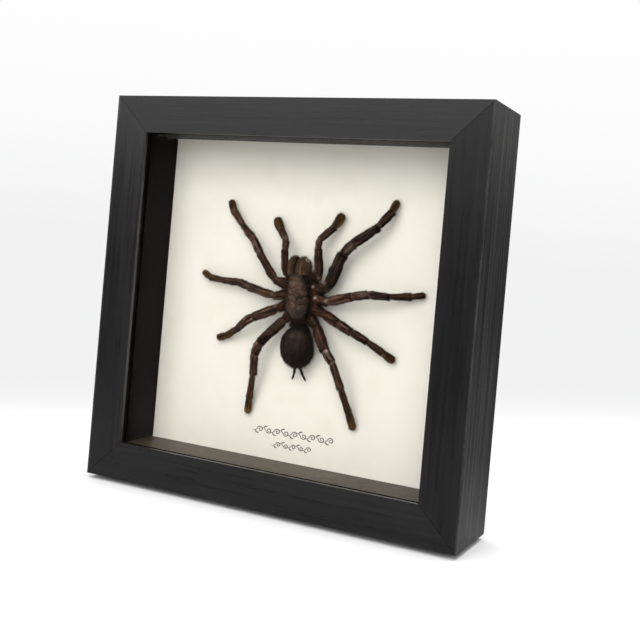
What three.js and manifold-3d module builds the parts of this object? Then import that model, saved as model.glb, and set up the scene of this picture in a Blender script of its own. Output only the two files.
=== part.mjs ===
// Boxed tarantula specimen: a deep black wooden frame with glass, black spacer strips,
// a cream card and a dried tarantula fixed to the card.
//
// Units are millimetres. +Z is up, the glass faces -Y, X runs across the front.
// The origin is at the middle of the frame's underside.
import * as THREE from "three";
import { mergeVertices } from "three/addons/utils/BufferGeometryUtils.js";
import Module from "manifold-3d";

const wasm = await Module();
wasm.setup();

// ---------------------------------------------------------------- frame sizes
const W = 200; // outside width and height of the square frame
const D = 46; // depth of the frame, front to back
const FACE = 19; // width of the front face of a rail
const LIP_T = 4.4; // thickness of the lip that holds the glass
const WALL = 11.7; // thickness of a rail behind the lip
const MITRE_GAP = 0.1; // each rail stops this far short of the 45 degree mitre plane
const GAP = 0.3; // clearance between pieces that rest against each other

const GLASS_T = 2.0;
const SPACER_T = 6.3; // thickness of the strips that line the case
const CARD_V = 33.0; // front of the card, measured back from the frame's front
const CARD_T = 1.5;
const PANEL_T = 3.0; // hardboard back
const FRONT = -D / 2; // y of the frame's front face
const IN = W / 2 - WALL; // half the clear width between the rail walls
const FILL = IN - GAP; // half the width of what drops in between them

// ---------------------------------------------------------------- back fittings
const TAB = { w: 10, len: 14, t: 0.6, bury: 3, at: 45 }; // framer's points in the side rails
const HANGER = { half: 24, foot: 9, h: 8, t: 0.8, rise: 1.8, ramp: 2, z: 163, teeth: 9, tooth: 1.8 };
const RIVET = { x: 19.5, head: 2.4, headT: 1.0, shank: 1.0, hole: 1.35 };

// ---------------------------------------------------------------- spider sizes
// Every spider point is [x, h, z], where h is the height above the face of the card.
const CEPH = { x: 2.4, z: 103.7, rx: 7.0, rz: 11.7, rim: 8.6, top: 12.4, floor: 2.6 };
const ABDOMEN = { x: 3.95, h: 8.1, z: 78.6, rx: 9.0, rh: 7.0, rz: 11.2, pedicel: 1.5 };
const SPINNERET = { r: 0.75, tip: 0.45 };
const LIMB_SIDES = 8;
const BRISTLE = 1.1; // the limbs' radii below are bare: this takes them out to the tips of the bristles

// Limbs: joints from the body out (coxa base, trochanter, knee, and so on to the tip),
// and for each segment its radius near its start, at its middle and near its end.
const LEGS = {
  leg_1_left: {
    p: [[-2.9, 5.6, 108.6], [-12.24, 7.0, 110.66], [-20.28, 9.86, 123.23], [-24.72, 10.18, 130.58], [-33.08, 6.76, 136.88], [-40.81, 4.58, 144.63], [-44.2, 2.1, 149.9]],
    r: [[1.8, 1.9, 1.9], [1.7, 1.5, 1.6], [1.7, 1.8, 1.7], [1.7, 1.65, 1.35], [1.3, 1.45, 1.7], [1.5, 1.6, 1.4]],
  },
  leg_2_left: {
    p: [[-2.8, 5.4, 104.4], [-11.9, 7.0, 102.67], [-25.62, 8.64, 105.88], [-31.88, 7.15, 107.61], [-42.12, 6.51, 107.75], [-51.38, 4.27, 108.43], [-57.3, 2.0, 111.0]],
    r: [[1.8, 1.9, 1.9], [1.8, 1.7, 1.7], [1.7, 1.8, 1.7], [1.6, 1.55, 1.3], [1.2, 1.35, 1.45], [1.3, 1.4, 1.3]],
  },
  leg_3_left: {
    p: [[-2.7, 5.4, 100.1], [-9.1, 6.6, 96.65], [-20.84, 10.52, 91.0], [-26.19, 10.25, 87.66], [-31.44, 6.88, 83.57], [-38.65, 3.88, 79.2], [-45.3, 2.1, 76.9]],
    r: [[1.8, 1.9, 1.9], [2.0, 2.15, 2.0], [2.0, 1.9, 1.8], [1.7, 1.6, 1.4], [1.3, 1.4, 1.5], [1.4, 1.6, 1.5]],
  },
  leg_4_left: {
    p: [[-1.0, 5.2, 95.6], [-4.9, 6.4, 91.4], [-16.22, 10.42, 78.57], [-18.62, 10.31, 72.38], [-19.76, 7.61, 61.25], [-22.72, 3.97, 48.6], [-24.0, 2.0, 40.2]],
    r: [[1.7, 1.8, 1.9], [2.0, 2.1, 2.0], [2.0, 2.0, 1.9], [1.75, 1.75, 1.7], [1.25, 1.3, 1.5], [1.4, 1.45, 1.35]],
  },
  leg_1_right: {
    p: [[7.7, 5.6, 108.4], [17.0, 6.9, 108.9], [24.2, 8.53, 126.93], [29.86, 10.59, 131.98], [41.44, 8.5, 141.21], [46.9, 5.2, 149.29], [47.85, 2.1, 155.0]],
    r: [[1.8, 2.0, 2.0], [2.3, 2.5, 2.2], [1.9, 2.2, 2.1], [2.1, 1.95, 1.6], [1.2, 1.6, 1.6], [1.3, 1.35, 1.35]],
  },
  leg_2_right: {
    p: [[7.6, 5.4, 104.1], [17.6, 7.0, 102.6], [31.53, 9.73, 106.55], [39.83, 9.68, 108.37], [49.99, 7.51, 108.33], [59.69, 4.5, 109.3], [65.9, 2.0, 110.6]],
    r: [[1.8, 1.9, 2.0], [2.0, 2.05, 1.9], [1.8, 1.8, 1.8], [1.7, 1.6, 1.5], [1.2, 1.5, 1.8], [1.2, 1.3, 1.25]],
  },
  leg_3_right: {
    p: [[7.5, 5.4, 99.8], [16.2, 6.6, 96.5], [26.44, 11.28, 92.8], [33.25, 11.05, 89.48], [40.85, 8.33, 85.65], [47.92, 4.76, 80.96], [53.2, 2.1, 77.1]],
    r: [[1.8, 1.9, 1.9], [2.0, 2.1, 2.0], [2.0, 1.95, 1.8], [1.7, 1.7, 1.5], [1.25, 1.45, 1.55], [1.4, 1.65, 1.5]],
  },
  leg_4_right: {
    p: [[6.0, 5.2, 95.4], [12.6, 6.2, 89.9], [20.8, 11.81, 78.76], [25.34, 12.97, 73.91], [30.01, 10.19, 61.32], [32.92, 4.65, 49.8], [35.1, 2.1, 41.0]],
    r: [[1.7, 1.8, 1.9], [2.1, 2.2, 2.0], [1.9, 1.9, 1.7], [1.5, 1.6, 1.7], [1.35, 1.35, 1.45], [1.45, 1.55, 1.45]],
  },
  palp_left: {
    p: [[-1.3, 6.2, 112.5], [-6.5, 7.3, 114.6], [-6.5, 10.03, 126.4], [-6.8, 9.28, 131.71], [-11.56, 5.3, 135.73], [-16.4, 2.6, 142.3]],
    r: [[1.4, 1.5, 1.5], [1.4, 1.4, 1.4], [1.45, 1.55, 1.55], [1.55, 1.6, 1.5], [1.7, 1.9, 1.8]],
  },
  palp_right: {
    p: [[6.1, 6.2, 112.5], [12.4, 7.4, 114.2], [11.11, 8.95, 128.24], [10.76, 7.68, 132.85], [17.45, 5.56, 139.69], [20.2, 2.6, 146.8]],
    r: [[1.4, 1.5, 1.6], [1.6, 1.8, 1.55], [1.25, 1.4, 1.5], [1.6, 1.6, 1.5], [1.7, 1.95, 1.8]],
  },
};
const CHELICERAE = {
  chelicera_left: { x: -1.75, w: 2.55 },
  chelicera_right: { x: 4.15, w: 3.05 },
};
// Stations along a chelicera: z, height of its middle, share of its width, half height.
const CHELICERA_RINGS = [[115.9, 7.4, 0.93, 4.4], [117.6, 7.3, 1.0, 4.7], [119.6, 6.9, 1.0, 4.6], [121.6, 6.2, 0.93, 4.1], [123.0, 5.4, 0.74, 3.2], [123.8, 4.9, 0.45, 2.0]];

// ---------------------------------------------------------------- materials
const material = (color, roughness, extra = {}) =>
  new THREE.MeshStandardMaterial({ color, roughness, metalness: 0, ...extra });
const MAT = {
  wood: material(0x2b2929, 0.5),
  liner: material(0x161514, 0.8),
  glass: material(0xeef4f2, 0.05, { transparent: true, opacity: 0.15 }),
  card: material(0xece6d8, 0.9),
  panel: material(0x6b4a30, 0.8),
  steel: material(0xa8aaad, 0.35, { metalness: 0.9 }),
  brass: material(0xb59a55, 0.35, { metalness: 0.9 }),
  shell: material(0x4e443c, 0.75),
  velvet: material(0x2e2825, 0.95),
  limb: material(0x3e302a, 0.85),
};

const model = new THREE.Group();
const add = (name, geometry, mat, parent = model) => {
  const mesh = new THREE.Mesh(geometry, mat);
  mesh.name = name;
  parent.add(mesh);
  return mesh;
};

// ---------------------------------------------------------------- solids
function toSolid(geometry) {
  const g = geometry.clone();
  for (const key of Object.keys(g.attributes)) if (key !== "position") g.deleteAttribute(key);
  const m = mergeVertices(g, 1e-4);
  return new wasm.Manifold(
    new wasm.Mesh({
      numProp: 3,
      vertProperties: new Float32Array(m.attributes.position.array),
      triVerts: new Uint32Array(m.index.array),
    }),
  );
}
function toGeometry(solid) {
  const m = solid.getMesh();
  const g = new THREE.BufferGeometry();
  g.setAttribute("position", new THREE.BufferAttribute(new Float32Array(m.vertProperties), 3));
  g.setIndex(new THREE.BufferAttribute(new Uint32Array(m.triVerts), 1));
  g.computeVertexNormals();
  return g;
}
const box = (x0, x1, y0, y1, z0, z1) =>
  new THREE.BoxGeometry(x1 - x0, y1 - y0, z1 - z0).translate((x0 + x1) / 2, (y0 + y1) / 2, (z0 + z1) / 2);

// A closed skin over a list of rings of equal length, with a flat fan over each end.
function skin(rings) {
  const n = rings[0].length;
  const pos = [];
  const idx = [];
  for (const ring of rings) for (const p of ring) pos.push(p.x, p.y, p.z);
  for (let i = 0; i + 1 < rings.length; i++)
    for (let j = 0; j < n; j++) {
      const a = i * n + j;
      const b = i * n + ((j + 1) % n);
      idx.push(a, b, b + n, a, b + n, a + n);
    }
  for (const end of [0, rings.length - 1]) {
    const c = rings[end].reduce((s, p) => s.add(p), new THREE.Vector3()).divideScalar(n);
    const k = pos.length / 3;
    pos.push(c.x, c.y, c.z);
    for (let j = 0; j < n; j++) {
      const a = end * n + j;
      const b = end * n + ((j + 1) % n);
      if (end === 0) idx.push(k, b, a);
      else idx.push(k, a, b);
    }
  }
  const g = new THREE.BufferGeometry();
  g.setAttribute("position", new THREE.Float32BufferAttribute(pos, 3));
  g.setIndex(idx);
  g.computeVertexNormals();
  return g;
}

// ---------------------------------------------------------------- frame rails
// One rail lying along X, with its outer edge down, mitred at both ends.
function railGeometry() {
  const section = [
    [0, 0],
    [FACE, 0],
    [FACE, LIP_T],
    [WALL, LIP_T],
    [WALL, D],
    [0, D],
  ];
  const rings = [-1, 1].map((s) =>
    section.map(([u, v]) => new THREE.Vector3(s * (W / 2 - u - MITRE_GAP), FRONT + v, u)),
  );
  const pos = [];
  for (const ring of rings) for (const p of ring) pos.push(p.x, p.y, p.z);
  const n = section.length;
  const idx = [];
  for (let j = 0; j < n; j++) {
    const k = (j + 1) % n;
    idx.push(j, n + j, n + k, j, n + k, k);
  }
  const caps = THREE.ShapeUtils.triangulateShape(
    section.map(([u, v]) => new THREE.Vector2(u, v)),
    [],
  );
  for (const [a, b, c] of caps) {
    idx.push(a, b, c);
    idx.push(n + c, n + b, n + a);
  }
  const g = new THREE.BufferGeometry();
  g.setAttribute("position", new THREE.Float32BufferAttribute(pos, 3));
  g.setIndex(idx);
  return g;
}
const rail = outward(railGeometry());

const tabV = CARD_V + CARD_T + GAP + PANEL_T + GAP; // front of a tab, from the frame's front
const slots = [-TAB.at, TAB.at].map((x) =>
  toSolid(
    box(x - TAB.w / 2 - GAP, x + TAB.w / 2 + GAP, FRONT + tabV - GAP, FRONT + tabV + TAB.t + GAP, WALL - TAB.bury - GAP, WALL + 1),
  ),
);
const slotted = toGeometry(toSolid(rail).subtract(slots[0]).subtract(slots[1]));

// A turn about the case's centre line carries the bottom rail to the other three sides.
const turn = (quarters) => {
  const outer = new THREE.Group();
  outer.position.set(0, 0, W / 2);
  outer.rotation.y = (quarters * Math.PI) / 2;
  const inner = new THREE.Group();
  inner.position.set(0, 0, -W / 2);
  outer.add(inner);
  model.add(outer);
  return inner;
};
const sides = { bottom: turn(0), left: turn(1), top: turn(2), right: turn(3) };
add("rail_bottom", rail, MAT.wood, sides.bottom);
add("rail_left", slotted, MAT.wood, sides.left);
add("rail_top", rail, MAT.wood, sides.top);
add("rail_right", slotted, MAT.wood, sides.right);

// Framer's points: thin plates pushed into the side rails behind the back panel.
for (const side of ["left", "right"])
  [-TAB.at, TAB.at].forEach((x) => {
    const high = (side === "left") === x < 0 ? "lower" : "upper";
    add(
      "point_" + side + "_" + high,
      box(x - TAB.w / 2, x + TAB.w / 2, FRONT + tabV, FRONT + tabV + TAB.t, WALL - TAB.bury, WALL - TAB.bury + TAB.len),
      MAT.steel,
      sides[side],
    );
  });

// ---------------------------------------------------------------- glass, strips, card, back
const mid = W / 2;
const glassV = LIP_T + GAP;
const stripV = glassV + GLASS_T + GAP;
const stripEnd = CARD_V - GAP;
const cardBack = CARD_V + CARD_T;
const panelV = cardBack + GAP;
const slab = (v0, v1, half = FILL) => box(-half, half, FRONT + v0, FRONT + v1, mid - half, mid + half);

add("glass", slab(glassV, glassV + GLASS_T), MAT.glass);
add("spacer_top", box(-FILL, FILL, FRONT + stripV, FRONT + stripEnd, mid + FILL - SPACER_T, mid + FILL), MAT.liner);
add("spacer_bottom", box(-FILL, FILL, FRONT + stripV, FRONT + stripEnd, mid - FILL, mid - FILL + SPACER_T), MAT.liner);
const clear = FILL - SPACER_T - GAP;
add("spacer_left", box(-FILL, -FILL + SPACER_T, FRONT + stripV, FRONT + stripEnd, mid - clear, mid + clear), MAT.liner);
add("spacer_right", box(FILL - SPACER_T, FILL, FRONT + stripV, FRONT + stripEnd, mid - clear, mid + clear), MAT.liner);
add("backing_card", slab(CARD_V, cardBack), MAT.card);

// Back panel, with a clearance hole at each rivet.
const hole = (r, x, y0, y1, z) =>
  toSolid(new THREE.CylinderGeometry(r, r, y1 - y0, 16).translate(x, (y0 + y1) / 2, z));
const hangerZ = HANGER.z + HANGER.h / 2;
let panel = toSolid(slab(panelV, panelV + PANEL_T));
for (const s of [-1, 1])
  panel = panel.subtract(hole(RIVET.hole, s * RIVET.x, FRONT + panelV - 1, FRONT + panelV + PANEL_T + 1, hangerZ));
add("back_panel", toGeometry(panel), MAT.panel);

// ---------------------------------------------------------------- sawtooth hanger and rivets
const hangV = panelV + PANEL_T + GAP;
{
  const { half, foot, t, rise, ramp, h, z, teeth, tooth } = HANGER;
  const y = FRONT + hangV;
  const line = [
    [-half, 0],
    [-half + foot, 0],
    [-half + foot + ramp, rise],
    [half - foot - ramp, rise],
    [half - foot, 0],
    [half, 0],
  ];
  const shape = new THREE.Shape();
  line.forEach(([x, r], i) => (i ? shape.lineTo(x, y + r) : shape.moveTo(x, y + r)));
  [...line].reverse().forEach(([x, r]) => shape.lineTo(x, y + r + t));
  shape.closePath();
  const strip = new THREE.ExtrudeGeometry(shape, { depth: h, bevelEnabled: false }).translate(0, 0, z);
  let plate = toSolid(strip);
  // Notches along the lower edge of the raised middle.
  const span = 2 * (half - foot - ramp) - 2;
  const pitch = span / teeth;
  const saw = new THREE.Shape();
  saw.moveTo(-span / 2, -1);
  saw.lineTo(-span / 2, 0);
  for (let i = 0; i < teeth; i++) {
    const x = -span / 2 + i * pitch;
    saw.lineTo(x + pitch / 2, tooth);
    saw.lineTo(x + pitch, 0);
  }
  saw.lineTo(span / 2, -1);
  saw.closePath();
  const cutter = new THREE.ExtrudeGeometry(saw, { depth: rise + t + 2, bevelEnabled: false })
    .rotateX(Math.PI / 2)
    .translate(0, y + rise + t + 1, z);
  plate = plate.subtract(toSolid(cutter));
  for (const s of [-1, 1]) plate = plate.subtract(hole(RIVET.hole, s * RIVET.x, y - 1, y + t + 1, hangerZ));
  add("hanger", toGeometry(plate), MAT.steel);

  const top = hangV + t + GAP; // under the rivet's head
  const profile = [
    [0, panelV + GAP],
    [RIVET.shank, panelV + GAP],
    [RIVET.shank, top],
    [RIVET.head, top],
    [RIVET.head * 0.86, top + RIVET.headT * 0.6],
    [RIVET.head * 0.45, top + RIVET.headT],
    [0, top + RIVET.headT],
  ].map(([r, v]) => new THREE.Vector2(r, FRONT + v));
  for (const [name, s] of [["rivet_left", -1], ["rivet_right", 1]])
    add(name, new THREE.LatheGeometry(profile, 16), MAT.brass).position.set(s * RIVET.x, 0, hangerZ);
}

// ---------------------------------------------------------------- spider
const spider = new THREE.Group(); // its frame is X across, Z up and y = -h from the card's face
spider.position.set(0, FRONT + CARD_V, 0);
model.add(spider);
const at = ([x, h, z]) => new THREE.Vector3(x, -h, z);

function limbGeometry({ p, r }) {
  const pts = p.map(at);
  const dirs = pts.slice(1).map((q, i) => q.clone().sub(pts[i]).normalize());
  const stations = [];
  stations.push({ c: pts[0], d: dirs[0], r: r[0][0] });
  r.forEach(([a, b, c], i) => {
    const from = pts[i];
    const to = pts[i + 1];
    const last = i === r.length - 1;
    const place = (t, rad) => stations.push({ c: from.clone().lerp(to, t), d: dirs[i], r: rad });
    place(0.18, a);
    place(0.5, b);
    place(last ? 0.78 : 0.82, c);
    if (last) place(0.93, c * 0.8);
    else
      stations.push({
        c: to,
        d: dirs[i].clone().add(dirs[i + 1]).normalize(),
        r: 0.93 * Math.min(c, r[i + 1][0]),
      });
  });
  const end = stations.length;
  stations.push({ c: pts[pts.length - 1], d: dirs[dirs.length - 1], r: r[r.length - 1][2] * 0.42 });
  let up = new THREE.Vector3(0, -1, 0);
  const rings = stations.slice(0, end + 1).map((s) => {
    up = up.clone().addScaledVector(s.d, -up.dot(s.d)).normalize();
    const side = new THREE.Vector3().crossVectors(s.d, up);
    return Array.from({ length: LIMB_SIDES }, (_, k) => {
      const a = ((k + 0.5) / LIMB_SIDES) * 2 * Math.PI;
      const rad = s.r * BRISTLE;
      return s.c.clone().addScaledVector(side, rad * Math.cos(a)).addScaledVector(up, rad * Math.sin(a));
    });
  });
  return outward(skin(rings));
}

// Turns a skin inside out if its faces point inwards.
function outward(g) {
  const idx = g.index.array;
  const p = g.attributes.position;
  const [a, b, c] = [new THREE.Vector3(), new THREE.Vector3(), new THREE.Vector3()];
  let volume = 0;
  for (let i = 0; i < idx.length; i += 3) {
    a.fromBufferAttribute(p, idx[i]);
    b.fromBufferAttribute(p, idx[i + 1]);
    c.fromBufferAttribute(p, idx[i + 2]);
    volume += a.dot(b.cross(c));
  }
  if (volume < 0) for (let i = 0; i < idx.length; i += 3) [idx[i + 1], idx[i + 2]] = [idx[i + 2], idx[i + 1]];
  g.computeVertexNormals();
  return g;
}

for (const [name, limb] of Object.entries(LEGS)) add(name, limbGeometry(limb), MAT.limb, spider);

// Cephalothorax: the domed carapace over a narrower sternum, so the coxae tuck under its rim.
{
  const { x, z, rx, rz, rim, top, floor } = CEPH;
  const levels = [
    [floor, 0.42, 0.62],
    [floor + 0.5, 0.5, 0.7],
    [rim - 0.1, 0.5, 0.7],
    [rim, 0.97, 0.97],
    [rim + 0.9, 1, 1],
    [top - 1.9, 0.86, 0.9],
    [top - 0.8, 0.64, 0.72],
    [top, 0.25, 0.38],
  ];
  const n = 20;
  const rings = levels.map(([h, sx, sz]) =>
    Array.from({ length: n }, (_, k) => {
      const a = (k / n) * 2 * Math.PI;
      return at([x + rx * sx * Math.cos(a) * (1 - 0.12 * Math.sin(a)), h, z + rz * sz * Math.sin(a)]);
    }),
  );
  add("cephalothorax", outward(skin(rings)), MAT.shell, spider);
}

// Abdomen with the pedicel at its front and the two long spinnerets at its rear.
{
  const { x, h, z, rx, rh, rz, pedicel } = ABDOMEN;
  const stations = [[-1, 0.12], [-0.93, 0.4], [-0.78, 0.66], [-0.52, 0.88], [-0.2, 0.99], [0.1, 1], [0.4, 0.93], [0.66, 0.77], [0.85, 0.55], [0.97, 0.3]];
  const n = 18;
  const ring = (s, f) =>
    Array.from({ length: n }, (_, k) => {
      const a = (k / n) * 2 * Math.PI;
      return at([x + rx * f * Math.cos(a) - 0.35 * s, h + rh * f * Math.sin(a), z + rz * s]);
    });
  const rings = stations.map(([s, f]) => ring(s, f));
  const neck = (dz) =>
    Array.from({ length: n }, (_, k) => {
      const a = (k / n) * 2 * Math.PI;
      return at([x - 0.4 + pedicel * Math.cos(a), h - 1.4 + pedicel * 0.9 * Math.sin(a), z + rz + dz]);
    });
  rings.push(neck(0.25), neck(1.3));
  let body = toSolid(outward(skin(rings)));
  const spinneret = (p) =>
    toSolid(limbGeometry({ p, r: p.slice(1).map((_, i) => (i ? [SPINNERET.r * 0.9, SPINNERET.r * 0.8, SPINNERET.tip] : [SPINNERET.r, SPINNERET.r, SPINNERET.r * 0.9])) }));
  body = body
    .add(spinneret([[2.9, 6.0, 70.0], [2.9, 5.0, 66.6], [1.4, 3.8, 61.3]]))
    .add(spinneret([[5.3, 6.0, 70.0], [6.0, 5.0, 66.6], [9.2, 3.8, 61.6]]));
  add("abdomen", toGeometry(body), MAT.velvet, spider);
}

for (const [name, { x, w }] of Object.entries(CHELICERAE)) {
  const n = 12;
  const rings = CHELICERA_RINGS.map(([z, h, share, hh]) =>
    Array.from({ length: n }, (_, k) => {
      const a = (k / n) * 2 * Math.PI;
      return at([x + w * share * Math.cos(a), h + hh * Math.sin(a), z]);
    }),
  );
  add(name, outward(skin(rings)), MAT.shell, spider);
}

export default model;
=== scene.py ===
import math

import bpy
import numpy as np
from mathutils import Matrix, Vector


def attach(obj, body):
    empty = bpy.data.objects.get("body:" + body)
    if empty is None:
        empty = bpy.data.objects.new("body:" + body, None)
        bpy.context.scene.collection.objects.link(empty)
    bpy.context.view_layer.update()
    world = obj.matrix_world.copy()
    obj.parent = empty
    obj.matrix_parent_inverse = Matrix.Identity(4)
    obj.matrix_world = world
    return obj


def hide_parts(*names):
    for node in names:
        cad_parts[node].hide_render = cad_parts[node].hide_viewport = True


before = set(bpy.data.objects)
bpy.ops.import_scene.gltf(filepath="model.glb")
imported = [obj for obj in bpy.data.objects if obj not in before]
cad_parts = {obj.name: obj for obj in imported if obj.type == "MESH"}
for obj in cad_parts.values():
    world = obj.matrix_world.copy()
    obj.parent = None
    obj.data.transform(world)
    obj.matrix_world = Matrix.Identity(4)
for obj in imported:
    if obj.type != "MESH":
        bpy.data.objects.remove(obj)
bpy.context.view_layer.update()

# Lengths are millimetres in the helpers and metres in the meshes. Spider points are
# [x, h, z], with h the height above the card's face, which is at y = +10 mm.
MM = 0.001
CARD_Y = 10.0
SEED = 462

# ---------------------------------------------------------------- camera
# Fitted to the frame's edges in the photo: right, down and forward, and the place in mm.
RIGHT = (0.87631634, 0.47397278, 0.08613639)
DOWN = (0.07928569, 0.03446305, -0.99625603)
AHEAD = (-0.47516676, 0.87986482, -0.00737872)
EYE = (219.649, -465.905, 129.076)
FOCAL, CX, CY = 1025.317, 240.652, 248.401  # in pixels of a 640 x 640 picture

cam_data = bpy.data.cameras.new("camera")
cam = bpy.data.objects.new("camera", cam_data)
bpy.context.scene.collection.objects.link(cam)
cam_data.sensor_width = 36.0
cam_data.lens = FOCAL / 640 * 36.0
cam_data.shift_x = (320 - CX) / 640
cam_data.shift_y = (CY - 320) / 640
cam_data.clip_start, cam_data.clip_end = 0.01, 60.0
cam.matrix_world = Matrix(
    [[RIGHT[i], -DOWN[i], -AHEAD[i], EYE[i] * MM] for i in range(3)] + [[0, 0, 0, 1]]
)
bpy.context.scene.camera = cam
view = bpy.context.scene.view_settings
view.view_transform = "Standard"
view.look = "None"
view.exposure, view.gamma = 0.0, 1.0


def on_picture(p):
    """Where points of the row frame, in mm, fall on the photo's 640 x 640 frame."""
    d = np.asarray(p, float) - np.array(EYE)
    x, y, z = d @ np.array(RIGHT), d @ np.array(DOWN), d @ np.array(AHEAD)
    return np.stack([CX + FOCAL * x / z, CY + FOCAL * y / z], -1)


def on_card(u, v, h=0.0):
    """The x and z, in mm, of the point at height h over the card that shows at (u, v)."""
    d = (u - CX) / FOCAL * np.array(RIGHT) + (v - CY) / FOCAL * np.array(DOWN) + np.array(AHEAD)
    t = (CARD_Y - h - EYE[1]) / d[1]
    p = np.array(EYE) + t * d
    return p[0], p[2]


# ---------------------------------------------------------------- node helpers
def net(name):
    m = bpy.data.materials.new(name)
    m.use_nodes = True
    m.node_tree.nodes.clear()
    return m, m.node_tree


def put(t, kind, ins=None, **props):
    n = t.nodes.new(kind)
    for k, v in props.items():
        setattr(n, k, v)
    for k, v in (ins or {}).items():
        if isinstance(v, bpy.types.NodeSocket):
            t.links.new(v, n.inputs[k])
        else:
            n.inputs[k].default_value = v
    return n


def rgba(c):
    return (*c, 1.0) if len(c) == 3 else tuple(c)


def coords(t):
    return put(t, "ShaderNodeTexCoord").outputs["Object"]


def scaled(t, vec, scale, turn=(0, 0, 0), move=(0, 0, 0)):
    return put(
        t, "ShaderNodeMapping", {"Vector": vec, "Scale": scale, "Rotation": turn, "Location": move}
    ).outputs[0]


def noise(t, vec, scale, detail=3.0, rough=0.55, distort=0.0):
    n = put(
        t,
        "ShaderNodeTexNoise",
        {"Vector": vec, "Scale": scale, "Detail": detail, "Roughness": rough, "Distortion": distort},
    )
    return n.outputs["Fac"]


def ramp(t, fac, stops, colour=True):
    n = put(t, "ShaderNodeValToRGB", {"Fac": fac})
    e = n.color_ramp.elements
    while len(e) < len(stops):
        e.new(0.5)
    for s, (pos, c) in zip(e, stops):
        s.position = pos
        s.color = rgba(c) if isinstance(c, tuple) else (c, c, c, 1)
    return n.outputs["Color"]


def spread(t, v, a, b, c, d):
    return put(
        t,
        "ShaderNodeMapRange",
        {"Value": v, "From Min": a, "From Max": b, "To Min": c, "To Max": d},
    ).outputs["Result"]


def calc(t, op, a, b=0.0, clamp=False):
    return put(t, "ShaderNodeMath", {0: a, 1: b}, operation=op, use_clamp=clamp).outputs[0]


def blend(t, fac, a, b, kind="MIX"):
    a = a if isinstance(a, bpy.types.NodeSocket) else rgba(a)
    b = b if isinstance(b, bpy.types.NodeSocket) else rgba(b)
    n = put(t, "ShaderNodeMix", {0: fac, 6: a, 7: b}, data_type="RGBA", blend_type=kind)
    return n.outputs[2]


def bump(t, height, strength, distance, normal=None):
    ins = {"Height": height, "Strength": strength, "Distance": distance}
    if normal is not None:
        ins["Normal"] = normal
    return put(t, "ShaderNodeBump", ins).outputs[0]


def surface(t, colour, rough, normal=None, **constants):
    ins = {"Base Color": colour, "Roughness": rough}
    if normal is not None:
        ins["Normal"] = normal
    ins.update({k.replace("_", " "): v for k, v in constants.items()})
    p = put(t, "ShaderNodeBsdfPrincipled", ins)
    out = put(t, "ShaderNodeOutputMaterial", {"Surface": p.outputs[0]})
    return p, out


def dress(node, material):
    """Gives a carried-over CAD node its material through the object's own slots."""
    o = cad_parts[node]
    if not o.material_slots:
        o.data.materials.append(None)
    for s in o.material_slots:
        s.link = "OBJECT"
        s.material = material
    return o


def soften(node, width, segments=2, angle=40):
    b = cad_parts[node].modifiers.new("rounded edges", "BEVEL")
    b.width = width * MM
    b.segments = segments
    b.limit_method = "ANGLE"
    b.angle_limit = math.radians(angle)
    b.harden_normals = False
    return b


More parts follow.
